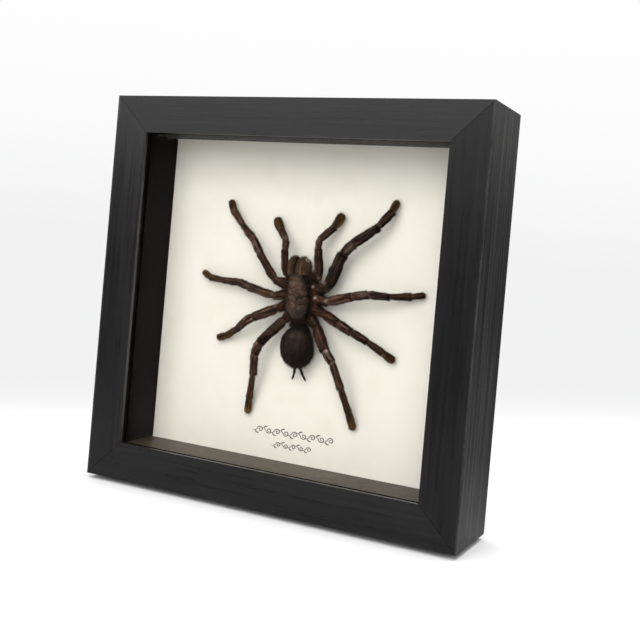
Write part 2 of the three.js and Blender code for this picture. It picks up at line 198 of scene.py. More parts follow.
# ---------------------------------------------------------------- frame wood
def black_wood(name, along, light=1.0, shine=0.20):
    """Black stained wood. along is the axis of its grain."""
    m, t = net(name)
    at = coords(t)

    def fibres(length, across, move):
        s = [1000 / across] * 3
        s[along] = 1000 / length
        return scaled(t, at, tuple(s), move=move)

    long = noise(t, fibres(70, 2.6, (3.1, 1.7, 5.2)), 1.0, 4.0, 0.6)
    fine = noise(t, fibres(22, 0.42, (7.7, 2.4, 9.1)), 1.0, 3.0, 0.65)
    broad = noise(t, fibres(260, 13, (1.3, 8.2, 2.2)), 1.0, 2.0, 0.5)
    cloud = noise(t, at, 34.0, 3.0, 0.6)
    pores = ramp(t, noise(t, fibres(5.5, 0.34, (4.2, 6.1, 0.8)), 1.0, 1.0, 0.5), [(0.60, 0.0), (0.72, 1.0)])
    g = calc(t, "ADD", calc(t, "MULTIPLY", long, 0.5), calc(t, "MULTIPLY", fine, 0.3))
    g = calc(t, "ADD", g, calc(t, "MULTIPLY", broad, 0.35))
    g = calc(t, "ADD", g, calc(t, "MULTIPLY", cloud, 0.15))
    tone = ramp(
        t,
        g,
        [
            (0.42, tuple(light * v for v in (0.0050, 0.0047, 0.0048))),
            (0.62, tuple(light * v for v in (0.0080, 0.0075, 0.0077))),
            (0.80, tuple(light * v for v in (0.0140, 0.0132, 0.0134))),
        ],
    )
    tone = blend(t, calc(t, "MULTIPLY", pores, 0.16), tone, (0.004, 0.0038, 0.0038))
    rough = spread(t, calc(t, "ADD", long, calc(t, "MULTIPLY", cloud, 0.6)), 0.5, 1.1, 0.24, 0.34)
    h = calc(t, "ADD", calc(t, "MULTIPLY", long, 0.9), calc(t, "MULTIPLY", fine, 0.6))
    h = calc(t, "SUBTRACT", h, calc(t, "MULTIPLY", pores, 0.12))
    # The outer sides carry pale grain bands, which are also painted sheen: they make the side faces lighter than the
    # front.
    normal = put(t, "ShaderNodeSeparateXYZ", {0: put(t, "ShaderNodeNewGeometry").outputs["True Normal"]})
    flank = calc(t, "ABSOLUTE", normal.outputs["X"])
    flank = calc(t, "MULTIPLY", flank, flank)
    side_sheen_bands = noise(t, fibres(120, 2.6, (2.9, 5.3, 8.8)), 1.0, 4.0, 0.66)
    tone = blend(t, calc(t, "MULTIPLY", flank, ramp(t, side_sheen_bands, [(0.46, 0.0), (0.60, 1.0)])), tone, (0.050, 0.0485, 0.0485))
    # A painted highlight along the outer front edges of the upright rails, broken up by noise.
    xyz = put(t, "ShaderNodeSeparateXYZ", {0: at})
    rub = noise(t, fibres(16, 1.6, (6.1, 0.4, 3.3)), 1.0, 3.0, 0.6)
    front_ = spread(t, xyz.outputs["Y"], -0.0230, -0.0221, 1.0, 0.0)
    side_ = spread(t, calc(t, "ABSOLUTE", xyz.outputs["X"]), 0.0988, 0.1, 0.0, 1.0)
    edge_highlight = calc(t, "MULTIPLY", calc(t, "MULTIPLY", front_, side_), ramp(t, rub, [(0.36, 0.15), (0.60, 1.0)]))
    tone = blend(t, calc(t, "MULTIPLY", edge_highlight, 0.85), tone, (0.062, 0.060, 0.060))
    # At the lip's inner opening: a painted highlight line on its front edge, and painted shade, near black, on the
    # inner side behind it.
    off = calc(t, "ABSOLUTE", calc(t, "SUBTRACT", xyz.outputs["Z"], 0.1))
    ring = calc(t, "MAXIMUM", calc(t, "ABSOLUTE", xyz.outputs["X"]), off)
    inner = spread(t, ring, 0.08104, 0.08116, 1.0, 0.0)
    back_ = spread(t, xyz.outputs["Y"], -0.0214, -0.0206, 0.0, 1.0)
    tone = blend(t, calc(t, "MULTIPLY", inner, spread(t, xyz.outputs["Y"], -0.0228, -0.0216, 1.0, 0.0)), tone, (0.030, 0.029, 0.028))
    p_, out = surface(t, tone, rough, bump(t, h, 0.26, 0.00014), Specular_IOR_Level=shine)
    groove_shade = put(t, "ShaderNodeBsdfDiffuse", {"Color": ramp(t, long, [(0.4, (0.0030, 0.0024, 0.0020)), (0.6, (0.0070, 0.0058, 0.0050))])})
    both_ = put(t, "ShaderNodeMixShader", {0: calc(t, "MULTIPLY", inner, back_), 1: p_.outputs[0], 2: groove_shade.outputs[0]})
    t.links.new(both_.outputs[0], out.inputs["Surface"])
    return m


wood_x = black_wood("black_wood_across", 0)
wood_z = black_wood("black_wood_upright", 2, 1.1)
wood_dull = black_wood("black_wood_upright_dull", 2, 1.0, 0.13)
for side, m in (("top", wood_x), ("bottom", wood_x), ("left", wood_z), ("right", wood_dull)):
    dress("rail_" + side, m)
    soften("rail_" + side, 0.06, 2)

# ---------------------------------------------------------------- spacers
def strip_paint(name, along, shine, dull, dust_and_sheen, light=1.0):
    m, t = net(name)
    at = coords(t)
    s = [1000 / 1.3] * 3
    s[along] = 1000 / 34
    grain = noise(t, scaled(t, at, tuple(s)), 1.0, 4.0, 0.6)
    brush = noise(t, at, 260.0, 3.0, 0.6)
    g = calc(t, "ADD", calc(t, "MULTIPLY", grain, 0.6), calc(t, "MULTIPLY", brush, 0.4))
    tone = ramp(t, g, [(0.36, tuple(light * v for v in (0.0042, 0.0034, 0.0027))), (0.64, tuple(light * v for v in (0.0105, 0.0082, 0.0062)))])
    # A film of dust on the side that faces up, which also serves as a painted reflection of the cream card on the
    # bottom strip.
    if dust_and_sheen:
        dust_and_reflection = ramp(t, calc(t, "ADD", calc(t, "MULTIPLY", grain, 0.7), calc(t, "MULTIPLY", brush, 0.3)), [(0.38, (0.078, 0.056, 0.034)), (0.60, (0.152, 0.116, 0.078))])
        facing_up = put(t, "ShaderNodeSeparateXYZ", {0: put(t, "ShaderNodeNewGeometry").outputs["True Normal"]}).outputs["Z"]
        # It is weaker towards the ends.
        place = spread(t, put(t, "ShaderNodeSeparateXYZ", {0: at}).outputs["X"], -0.081, 0.081, 0.0, 1.0)
        end_fade = ramp(t, place, [(0.0, 0.70), (0.18, 1.0), (0.62, 1.0), (0.80, 0.74), (1.0, 0.70)])
        tone = blend(t, calc(t, "MULTIPLY", end_fade, spread(t, facing_up, 0.4, 0.9, 0.0, dust_and_sheen)), tone, dust_and_reflection)
    rough = spread(t, brush, 0.3, 0.7, dull - 0.08, dull + 0.08)
    surface(t, tone, rough, bump(t, g, 0.4, 0.00018), Specular_IOR_Level=shine)
    return m


strip_x = strip_paint("strip_paint_across", 0, 0.12, 0.55, 0.0)
strip_low = strip_paint("strip_paint_dust_and_sheen", 0, 0.16, 0.45, 0.66)
# The upright strips use the same paint made darker, a painted shade that offsets the light falling on them from the
# right.
strip_z = strip_paint("strip_paint_upright", 2, 0.055, 0.62, 0.0, 0.72)
for side, m in (("top", strip_x), ("bottom", strip_low), ("left", strip_z), ("right", strip_z)):
    dress("spacer_" + side, m)
    soften("spacer_" + side, 0.25, 2)

# ---------------------------------------------------------------- glass
m, t = net("picture_glass")
at = coords(t)
wipe = noise(t, scaled(t, at, (26, 26, 9), turn=(0, 0.5, 0)), 1.0, 3.0, 0.5)
see = put(t, "ShaderNodeBsdfTransparent", {"Color": (0.985, 0.992, 0.985, 1)})
shine = put(
    t,
    "ShaderNodeBsdfGlossy",
    {"Color": (1, 1, 1, 1), "Roughness": spread(t, wipe, 0.35, 0.7, 0.015, 0.06)},
)
pane = put(
    t, "ShaderNodeMixShader", {0: put(t, "ShaderNodeFresnel", {"IOR": 1.10}).outputs[0], 1: see.outputs[0], 2: shine.outputs[0]}
)
put(t, "ShaderNodeOutputMaterial", {"Surface": pane.outputs[0]})
dress("glass", m)

# ---------------------------------------------------------------- card
m, t = net("cream_card")
at = coords(t)
blotch = noise(t, at, 120.0, 4.0, 0.6, 0.6)
cloud = noise(t, at, 34.0, 3.0, 0.55, 0.3)
fibre = noise(t, scaled(t, at, (1500, 1500, 420), turn=(0, 0.35, 0)), 1.0, 2.0, 0.6)
fibre2 = noise(t, scaled(t, at, (430, 1500, 1500), turn=(0, 0.9, 0)), 1.0, 2.0, 0.6)
g = calc(t, "ADD", calc(t, "MULTIPLY", blotch, 0.55), calc(t, "MULTIPLY", cloud, 0.45))
tone = ramp(
    t,
    g,
    [(0.34, (0.848, 0.800, 0.712)), (0.50, (0.877, 0.829, 0.747)), (0.66, (0.892, 0.849, 0.772))],
)
fleck = ramp(t, calc(t, "MULTIPLY", fibre, fibre2), [(0.36, 0.0), (0.46, 1.0)])
tone = blend(t, calc(t, "MULTIPLY", fleck, 0.10), tone, (0.62, 0.56, 0.46))
rough = spread(t, blotch, 0.3, 0.7, 0.80, 0.95)
h = calc(t, "ADD", fibre, calc(t, "ADD", fibre2, blotch))
surface(t, tone, rough, bump(t, h, 0.22, 0.00012), Specular_IOR_Level=0.25)
dress("backing_card", m)

# ---------------------------------------------------------------- back panel
m, t = net("hardboard")
at = coords(t)
speck = noise(t, at, 900.0, 3.0, 0.7)
strand = noise(t, scaled(t, at, (260, 900, 1100), turn=(0, 0.6, 0)), 1.0, 3.0, 0.6, 0.8)
cloud = noise(t, at, 22.0, 3.0, 0.6)
g = calc(t, "ADD", calc(t, "MULTIPLY", speck, 0.4), calc(t, "ADD", calc(t, "MULTIPLY", strand, 0.35), calc(t, "MULTIPLY", cloud, 0.25)))
tone = ramp(
    t,
    g,
    [(0.36, (0.085, 0.042, 0.020)), (0.50, (0.165, 0.088, 0.044)), (0.66, (0.270, 0.160, 0.086))],
)
surface(
    t,
    tone,
    spread(t, speck, 0.3, 0.7, 0.42, 0.68),
    bump(t, g, 0.35, 0.0002),
    Specular_IOR_Level=0.4,
)
dress("back_panel", m)
soften("back_panel", 0.3, 2)

# ---------------------------------------------------------------- zinc plated steel and brass
m, t = net("zinc_plate")
at = coords(t)
cells = put(t, "ShaderNodeTexVoronoi", {"Vector": at, "Scale": 620.0}, feature="F1")
mott = noise(t, at, 420.0, 3.0, 0.6)
rub = noise(t, scaled(t, at, (90, 900, 1800)), 1.0, 3.0, 0.6)
tone = blend(
    t,
    calc(t, "MULTIPLY", mott, 0.8),
    ramp(t, put(t, "ShaderNodeSeparateColor", {0: cells.outputs["Color"]}).outputs[0], [(0.0, (0.40, 0.41, 0.43)), (1.0, (0.60, 0.61, 0.62))]),
    (0.50, 0.50, 0.49),
)
tone = blend(t, ramp(t, noise(t, at, 150.0, 4.0, 0.7), [(0.62, 0.0), (0.74, 0.55)]), tone, (0.20, 0.165, 0.13))
zinc_steel = m
surface(t, tone, spread(t, rub, 0.25, 0.75, 0.28, 0.52), bump(t, rub, 0.18, 0.00008), Metallic=1.0)
for name in ("point_left_lower", "point_left_upper", "point_right_lower", "point_right_upper", "hanger"):
    dress(name, m)
soften("hanger", 0.09, 2, 50)
for name in ("point_left_lower", "point_left_upper", "point_right_lower", "point_right_upper"):
    soften(name, 0.09, 2)

m, t = net("brass_plate")
at = coords(t)
age = noise(t, at, 900.0, 4.0, 0.65)
rub = noise(t, at, 2600.0, 2.0, 0.6)
tone = ramp(t, age, [(0.36, (0.30, 0.19, 0.07)), (0.55, (0.62, 0.45, 0.19)), (0.72, (0.74, 0.58, 0.28))])
surface(t, tone, spread(t, age, 0.3, 0.7, 0.42, 0.22), bump(t, rub, 0.15, 0.00005), Metallic=1.0)
for name in ("rivet_left", "rivet_right"):
    dress(name, m)
    soften(name, 0.12, 2, 25)

# ---------------------------------------------------------------- spider: numeric helpers
def lattice(p, seed):
    """Smooth value noise between 0 and 1, for an (n, 3) array."""
    p = np.asarray(p, float)
    i = np.floor(p).astype(np.int64)
    f = p - i
    f = f * f * (3 - 2 * f)
    out = np.zeros(len(p))
    for dx in (0, 1):
        for dy in (0, 1):
            for dz in (0, 1):
                n = (i[:, 0] + dx) * 374761393 + (i[:, 1] + dy) * 668265263 + (i[:, 2] + dz) * 1274126177 + seed * 69069
                n = (n ^ (n >> 13)) & 0xFFFFFFFF
                n = (n * 1103515245 + 12345) & 0xFFFFFFFF
                n = (n ^ (n >> 16)) & 0xFFFFFFFF
                n = (n * 2246822519) & 0xFFFFFFFF
                v = ((n ^ (n >> 15)) & 0xFFFFFF) / float(0xFFFFFF)
                w = (f[:, 0] if dx else 1 - f[:, 0]) * (f[:, 1] if dy else 1 - f[:, 1]) * (f[:, 2] if dz else 1 - f[:, 2])
                out += w * v
    return out


def smooth(a, b, x):
    t = np.clip((np.asarray(x, float) - a) / (b - a), 0, 1)
    return t * t * (3 - 2 * t)


def unit(v):
    v = np.asarray(v, float)
    return v / np.maximum(np.linalg.norm(v, axis=-1, keepdims=True), 1e-12)


def to_row(p):
    """Spider points [x, h, z] in mm to the row frame in mm."""
    p = np.asarray(p, float)
    return np.stack([p[..., 0], CARD_Y - p[..., 1], p[..., 2]], -1)


class Shell:
    """Mesh pieces in spider space that end up in one object: positions, triangles, colours, a
    coordinate that runs along and round each limb, which material each face has."""

    def __init__(self):
        self.v, self.f, self.c, self.w, self.m = [], [], [], [], []
        self.count = 0

    def add(self, v, f, c, w, m):
        self.v.append(np.asarray(v, float))
        self.f.append(np.asarray(f, np.int64) + self.count)
        self.c.append(np.asarray(c, float))
        self.w.append(np.asarray(w, float))
        self.m.append(np.full(len(f), m, np.int32))
        self.count += len(v)

    def build(self, name, materials, slot, *nodes):
        v, f = np.concatenate(self.v), np.concatenate(self.f)
        c, w, m = np.concatenate(self.c), np.concatenate(self.w), np.concatenate(self.m)
        row = to_row(v) * MM
        # The map to the row frame mirrors the mesh, so the faces turn round.
        f = f[:, ::-1]
        me = bpy.data.meshes.new(name)
        me.vertices.add(len(row))
        me.vertices.foreach_set("co", row.astype(np.float32).ravel())
        me.loops.add(3 * len(f))
        me.loops.foreach_set("vertex_index", f.astype(np.int32).ravel())
        me.polygons.add(len(f))
        me.polygons.foreach_set("loop_start", np.arange(0, 3 * len(f), 3, dtype=np.int32))
        me.polygons.foreach_set("material_index", m)
        me.polygons.foreach_set("use_smooth", np.ones(len(f), bool))
        me.update(calc_edges=True)
        a = me.attributes.new("tint", "FLOAT_COLOR", "POINT")
        a.data.foreach_set("color", np.concatenate([np.clip(c, 0, 1), np.ones((len(c), 1))], 1).astype(np.float32).ravel())
        a = me.attributes.new("run", "FLOAT_VECTOR", "POINT")
        a.data.foreach_set("vector", w.astype(np.float32).ravel())
        for x in materials:
            me.materials.append(x)
        me.validate()
        o = bpy.data.objects.new(name, me)
        bpy.context.scene.collection.objects.link(o)
        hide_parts(*nodes)
        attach(o, "root")
        tally[name] = len(f)
        return o


tally = {}


def skin(rings, closed_start=True, closed_end=True):
    """Triangles over rings of points, each with the same count, and a point at each end."""
    n = len(rings[0])
    v = list(np.concatenate(rings))
    f = []
    for i in range(len(rings) - 1):
        a, b = i * n, (i + 1) * n
        for k in range(n):
            j = (k + 1) % n
            f += [(a + k, b + j, b + k), (a + k, a + j, b + j)]
    if closed_start:
        v.append(rings[0].mean(0))
        f += [(len(v) - 1, (k + 1) % n, k) for k in range(n)]
    if closed_end:
        v.append(rings[-1].mean(0))
        o = (len(rings) - 1) * n
        f += [(len(v) - 1, o + k, o + (k + 1) % n) for k in range(n)]
    return np.array(v), np.array(f)


def facing(v, f):
    """The triangles turned so that they face outwards, with vertex normals."""
    a, b, c = v[f[:, 0]], v[f[:, 1]], v[f[:, 2]]
    if np.einsum("ij,ij->i", a - v.mean(0), np.cross(b - v.mean(0), c - v.mean(0))).sum() < 0:
        f = f[:, ::-1]
        a, b, c = a, c, b
        a, b, c = v[f[:, 0]], v[f[:, 1]], v[f[:, 2]]
    fn = np.cross(b - a, c - a)
    vn = np.zeros_like(v)
    for i in range(3):
        np.add.at(vn, f[:, i], fn)
    return f, unit(vn)


def sow(rng, v, f, vn, count, weight=None):
    """count random points on a skin: where, the normal there, and which triangle with its shares."""
    a, b, c = v[f[:, 0]], v[f[:, 1]], v[f[:, 2]]
    area = np.linalg.norm(np.cross(b - a, c - a), axis=1)
    if weight is not None:
        area = area * weight[f].mean(1)
    cum = np.cumsum(area)
    t = np.searchsorted(cum, rng.random(count) * cum[-1])
    r1, r2 = np.sqrt(rng.random(count)), rng.random(count)
    s = np.stack([1 - r1, r1 * (1 - r2), r1 * r2], 1)
    mixed = lambda x: np.einsum("ij,ijk->ik", s, x[f[t]])
    return mixed(v), unit(mixed(vn)), mixed


def bristles(shell, rng, root, aim, length, width, colour, material, droop=None, bends=2, dark_root=0.7):
    """Tapered three-sided hairs. bends is how many rings of points each has before its tip."""
    n = len(root)
    if n == 0:
        return
    length = np.broadcast_to(length, n)
    width = np.broadcast_to(width, n)
    aim = unit(aim)
    droop = np.zeros((n, 3)) if droop is None else droop
    side = unit(np.cross(aim, unit(rng.normal(size=(n, 3)))))
    other = np.cross(aim, side)
    rings = []
    for i in range(bends):
        s = i / bends
        at = root + aim * (length * s)[:, None] + droop * (length * s * s)[:, None]
        r = width * (1 - 0.55 * s) / 2
        for k in range(3):
            a = 2 * math.pi * k / 3
            rings.append(at + (side * math.cos(a) + other * math.sin(a)) * r[:, None])
    rings.append(root + aim * length[:, None] + droop * length[:, None])
    per = 3 * bends + 1
    v = np.stack(rings, 1).reshape(-1, 3)
    base = (np.arange(n) * per)[:, None]
    faces = []
    for i in range(bends - 1):
        for k in range(3):
            j = (k + 1) % 3
            faces.append(np.concatenate([base + 3 * i + k, base + 3 * i + j, base + 3 * (i + 1) + j], 1))
            faces.append(np.concatenate([base + 3 * i + k, base + 3 * (i + 1) + j, base + 3 * (i + 1) + k], 1))
    for k in range(3):
        j = (k + 1) % 3
        faces.append(np.concatenate([base + 3 * (bends - 1) + k, base + 3 * (bends - 1) + j, base + per - 1], 1))
    shade = np.concatenate([np.repeat(np.linspace(dark_root, 1.0, bends), 3), [1.12]])
    c = (colour[:, None, :] * shade[None, :, None]).reshape(-1, 3)
    w = np.repeat(np.stack([root[:, 0], root[:, 1], root[:, 2]], 1), per, 0)
    shell.add(v, np.concatenate(faces), c, w, material)


def marks(v, c, spots):
    """Paints soft spots. Each is (u, v, radius in pixels, colour, strength), seen in the photo."""
    at = on_picture(to_row(v))
    for u, w, r, colour, strength in spots:
        d2 = ((at - np.array([u, w])) ** 2).sum(1)
        k = (strength * np.exp(-d2 / (r * r)))[:, None]
        c = c * (1 - k) + np.array(colour) * k
    return c


# ---------------------------------------------------------------- spider materials
def cuticle(name, gloss, line=0.5, grain=0.35):
    """Dry shell. Its colour comes from the mesh's own tint, broken up by lines that run along
    each limb and by blotches; run is (mm along, mm round, which segment)."""
    m, t = net(name)
    tint = put(t, "ShaderNodeAttribute", attribute_name="tint").outputs["Color"]
    run = put(t, "ShaderNodeAttribute", attribute_name="run").outputs["Vector"]
    at = coords(t)
    lines = noise(t, scaled(t, run, (0.22, 2.3, 7.0)), 1.0, 3.0, 0.6)
    fine = noise(t, scaled(t, run, (0.7, 7.0, 7.0)), 1.0, 2.0, 0.6)
    blotch = noise(t, at, 900.0, 3.0, 0.6)
    g = calc(t, "ADD", calc(t, "MULTIPLY", lines, 0.55), calc(t, "ADD", calc(t, "MULTIPLY", fine, 0.2), calc(t, "MULTIPLY", blotch, 0.25)))
    k = ramp(t, g, [(0.34, 1 - line), (0.50, 1.0), (0.66, 1 + 1.5 * line)])
    tone = blend(t, 1.0, tint, k, "MULTIPLY")
    warm = blend(t, ramp(t, blotch, [(0.45, 0.0), (0.70, grain)]), tone, blend(t, 1.0, tone, (1.5, 1.12, 0.92), "MULTIPLY"))
    rough = spread(t, g, 0.35, 0.65, gloss + 0.08, gloss - 0.08)
    b = bump(t, g, 0.5, 0.00018)
    surface(t, warm, rough, b, Specular_IOR_Level=0.10)
    return m


def hair(name, rough, sheen=0.0):
    m, t = net(name)
    tint = put(t, "ShaderNodeAttribute", attribute_name="tint").outputs["Color"]
    at = coords(t)
    k = ramp(t, noise(t, at, 1400.0, 2.0, 0.6), [(0.3, 0.72), (0.7, 1.3)])
    tone = blend(t, 1.0, tint, k, "MULTIPLY")
    surface(
        t,
        tone,
        spread(t, noise(t, at, 2200.0, 1.0, 0.5), 0.3, 0.7, rough - 0.08, rough + 0.08),
        Specular_IOR_Level=0.03,
        Sheen_Weight=sheen,
        Sheen_Roughness=0.4,
    )
    return m


limb_shell = cuticle("limb_cuticle", 0.38, 0.62)
body_shell = cuticle("carapace_cuticle", 0.44, 0.50)
limb_hair = hair("limb_bristle", 0.55)
velvet = hair("abdomen_velvet", 0.6, 0.04)
body_hair = hair("carapace_hair", 0.55, 0.02)

# ---------------------------------------------------------------- spider: limbs
LIMBS = {
    "leg_1_left": (
        [[-2.9, 5.6, 108.6], [-12.24, 7.0, 110.66], [-20.28, 9.86, 123.23], [-24.72, 10.18, 130.58], [-33.08, 6.76, 136.88], [-40.81, 4.58, 144.63], [-44.2, 2.1, 149.9]],
        [[2.5, 2.45, 1.7], [1.85, 1.7, 1.7], [1.8, 1.85, 1.75], [1.75, 1.7, 1.4], [1.35, 1.5, 1.7], [1.5, 1.6, 1.4]],
    ),
    "leg_2_left": (
        [[-2.8, 5.4, 104.4], [-11.9, 7.0, 102.67], [-25.62, 8.64, 105.88], [-31.88, 7.15, 107.61], [-42.12, 6.51, 107.75], [-51.38, 4.27, 108.43], [-57.3, 2.0, 111.0]],
        [[2.5, 2.45, 1.75], [1.9, 1.8, 1.8], [1.75, 1.85, 1.75], [1.65, 1.6, 1.35], [1.25, 1.4, 1.5], [1.3, 1.4, 1.3]],
    ),
    "leg_3_left": (
        [[-2.7, 5.4, 100.1], [-9.1, 6.6, 96.65], [-20.84, 10.52, 91.0], [-26.19, 10.25, 87.66], [-31.44, 6.88, 83.57], [-38.65, 3.88, 79.2], [-45.3, 2.1, 76.9]],
        [[2.5, 2.5, 1.85], [2.1, 2.2, 2.05], [2.0, 1.95, 1.85], [1.75, 1.65, 1.45], [1.35, 1.45, 1.55], [1.4, 1.6, 1.5]],
    ),
    "leg_4_left": (
        [[-1.0, 5.2, 95.6], [-4.9, 6.4, 91.4], [-16.22, 10.42, 78.57], [-18.62, 10.31, 72.38], [-19.76, 7.61, 61.25], [-22.72, 3.97, 48.6], [-24.0, 2.0, 40.2]],
        [[2.5, 2.55, 2.0], [2.2, 2.25, 2.1], [2.05, 2.05, 1.95], [1.8, 1.8, 1.7], [1.3, 1.35, 1.5], [1.4, 1.45, 1.35]],
    ),
    "leg_1_right": (
        [[7.7, 5.6, 108.4], [17.0, 6.9, 108.9], [24.2, 8.53, 126.93], [29.86, 10.59, 131.98], [41.44, 8.5, 141.21], [46.9, 5.2, 149.29], [47.85, 2.1, 155.0]],
        [[2.6, 2.6, 2.1], [2.5, 2.75, 2.35], [2.0, 2.3, 2.2], [2.3, 2.2, 1.85], [1.5, 1.85, 1.75], [1.4, 1.5, 1.45]],
    ),
    "leg_2_right": (
        [[7.6, 5.4, 104.1], [17.6, 7.0, 102.6], [31.53, 9.73, 106.55], [39.83, 9.68, 108.37], [49.99, 7.51, 108.33], [59.69, 4.5, 109.3], [65.9, 2.0, 110.6]],
        [[2.5, 2.5, 1.85], [2.05, 2.1, 1.95], [1.85, 1.85, 1.8], [1.75, 1.65, 1.5], [1.25, 1.5, 1.75], [1.2, 1.3, 1.25]],
    ),
    "leg_3_right": (
        [[7.5, 5.4, 99.8], [16.2, 6.6, 96.5], [26.44, 11.28, 92.8], [33.25, 11.05, 89.48], [40.85, 8.33, 85.65], [47.92, 4.76, 80.96], [53.2, 2.1, 77.1]],
        [[2.5, 2.5, 1.85], [2.1, 2.2, 2.05], [2.0, 2.0, 1.85], [1.75, 1.75, 1.55], [1.3, 1.5, 1.6], [1.4, 1.65, 1.5]],
    ),
    "leg_4_right": (
        [[6.0, 5.2, 95.4], [12.6, 6.2, 89.9], [20.8, 11.81, 78.76], [25.34, 12.97, 73.91], [30.01, 10.19, 61.32], [32.92, 4.65, 49.8], [35.1, 2.1, 41.0]],
        [[2.5, 2.55, 2.0], [2.25, 2.4, 2.1], [1.95, 1.95, 1.75], [1.6, 1.65, 1.7], [1.4, 1.4, 1.5], [1.45, 1.55, 1.45]],
    ),
    "palp_left": (
        [[-1.3, 6.2, 112.5], [-6.5, 7.3, 114.6], [-6.5, 10.03, 126.4], [-6.8, 9.28, 131.71], [-11.56, 5.3, 135.73], [-16.4, 2.6, 142.3]],
        [[2.2, 2.3, 1.8], [1.65, 1.6, 1.5], [1.5, 1.6, 1.6], [1.6, 1.65, 1.55], [1.7, 1.9, 1.8]],
    ),
    "palp_right": (
        [[6.1, 6.2, 112.5], [12.4, 7.4, 114.2], [11.11, 8.95, 128.24], [10.76, 7.68, 132.85], [17.45, 5.56, 139.69], [20.2, 2.6, 146.8]],
        [[2.2, 2.3, 1.9], [1.8, 1.95, 1.65], [1.35, 1.5, 1.55], [1.6, 1.65, 1.55], [1.7, 1.95, 1.8]],
    ),
}
# Colours, linear: brown shell, a darker brown, a pale colour used for painted highlights,
# the pale skin of the joints, and the olive brown pads under the feet.
BROWN = np.array([0.0440, 0.0203, 0.0104])
DARK = np.array([0.0140, 0.0072, 0.0050])
PALE = np.array([0.150, 0.096, 0.077])
SKIN = np.array([0.160, 0.098, 0.074])
OLIVE = np.array([0.044, 0.0235, 0.0078])
WHITE = np.array([0.62, 0.50, 0.42])
BLUE = np.array([0.034, 0.030, 0.034])
RUST = np.array([0.150, 0.052, 0.020])
RED = np.array([0.070, 0.018, 0.010])
TONE = {  # how light each limb's segments are, from the coxa out
    "leg_1_left": (0.55, 0.95, 1.02, 1.48, 1.36, 0.98),
    "leg_2_left": (0.80, 0.82, 0.74, 0.80, 1.05, 1.85),
    "leg_3_left": (0.80, 0.92, 1.30, 0.64, 1.20, 1.70),
    "leg_4_left": (0.7, 0.42, 1.65, 1.18, 0.95, 2.00),
    "leg_1_right": (0.50, 0.46, 0.50, 0.44, 0.54, 1.30),
    "leg_2_right": (0.70, 1.08, 0.68, 0.44, 0.56, 0.86),
    "leg_3_right": (0.7, 0.80, 0.80, 0.45, 0.65, 1.40),
    "leg_4_right": (0.65, 0.76, 0.84, 1.10, 1.05, 1.62),
    "palp_left": (0.6, 0.56, 0.95, 1.15, 1.05),
    "palp_right": (0.7, 0.95, 1.00, 0.76, 1.20),
}
SPOTS = [  # u, v, radius, colour, strength, as seen in the photo; the PALE and WHITE ones and the two faint bluish ones on the first right femur are painted highlights, the rest marks of colour
    (350.0, 247.5, 3.2, PALE, 0.75),
    (346.5, 251.0, 2.2, PALE, 0.75),
    (337.0, 266.0, 4.0, BLUE * 0.8, 0.35),
    (333.0, 274.0, 4.0, BLUE * 0.8, 0.35),
    (361.0, 293.0, 4.0, PALE, 0.55),
    (366.0, 292.6, 3.0, PALE, 0.45),
    (325.6, 301.0, 1.3, WHITE, 0.60),
    (325.8, 301.0, 2.4, PALE, 0.45),
    (312.7, 286.8, 1.0, WHITE, 0.70),
    (314.9, 297.9, 1.2, WHITE, 0.80),
    (323.8, 283.0, 1.5, WHITE, 0.45),
    (322.0, 284.5, 2.2, PALE, 0.55),
    (322.5, 292.0, 3.4, BLUE * 0.55, 0.85),
    (317.0, 300.5, 2.0, RUST * 0.6, 0.5),
    (314.5, 303.0, 1.8, RUST * 0.6, 0.5),
    (313.2, 292.0, 1.6, RUST * 0.7, 0.55),
    (337.5, 323.5, 2.0, RED * 1.5, 0.6),
    (340.0, 326.0, 1.5, PALE, 0.4),
    (321.0, 336.5, 2.0, RED * 1.6, 0.7),
    (326.0, 351.0, 1.7, WHITE, 0.65),
    (327.5, 354.0, 2.2, PALE, 0.65),
    (333.0, 362.0, 2.4, PALE, 0.35),
    (258.0, 251.5, 2.4, PALE, 0.55),
    (253.8, 244.0, 2.6, PALE, 0.55),
    (277.0, 278.0, 2.0, PALE, 0.35),
    (240.0, 221.5, 1.8, PALE, 0.4),
    (250.0, 287.0, 2.2, PALE, 0.35),
    (274.0, 294.5, 2.2, PALE, 0.4),
    (317.5, 240.0, 2.2, PALE, 0.5),
    (286.0, 238.0, 2.2, PALE, 0.4),
    (212.5, 276.5, 1.3, np.array([0.20, 0.14, 0.045]), 0.55),
    (233.5, 211.0, 1.6, PALE, 0.35),
]
LIMB_SIDES = 26
SWELL = 1.07  # the bare shell, as a share of the radii above; hair fills the rest


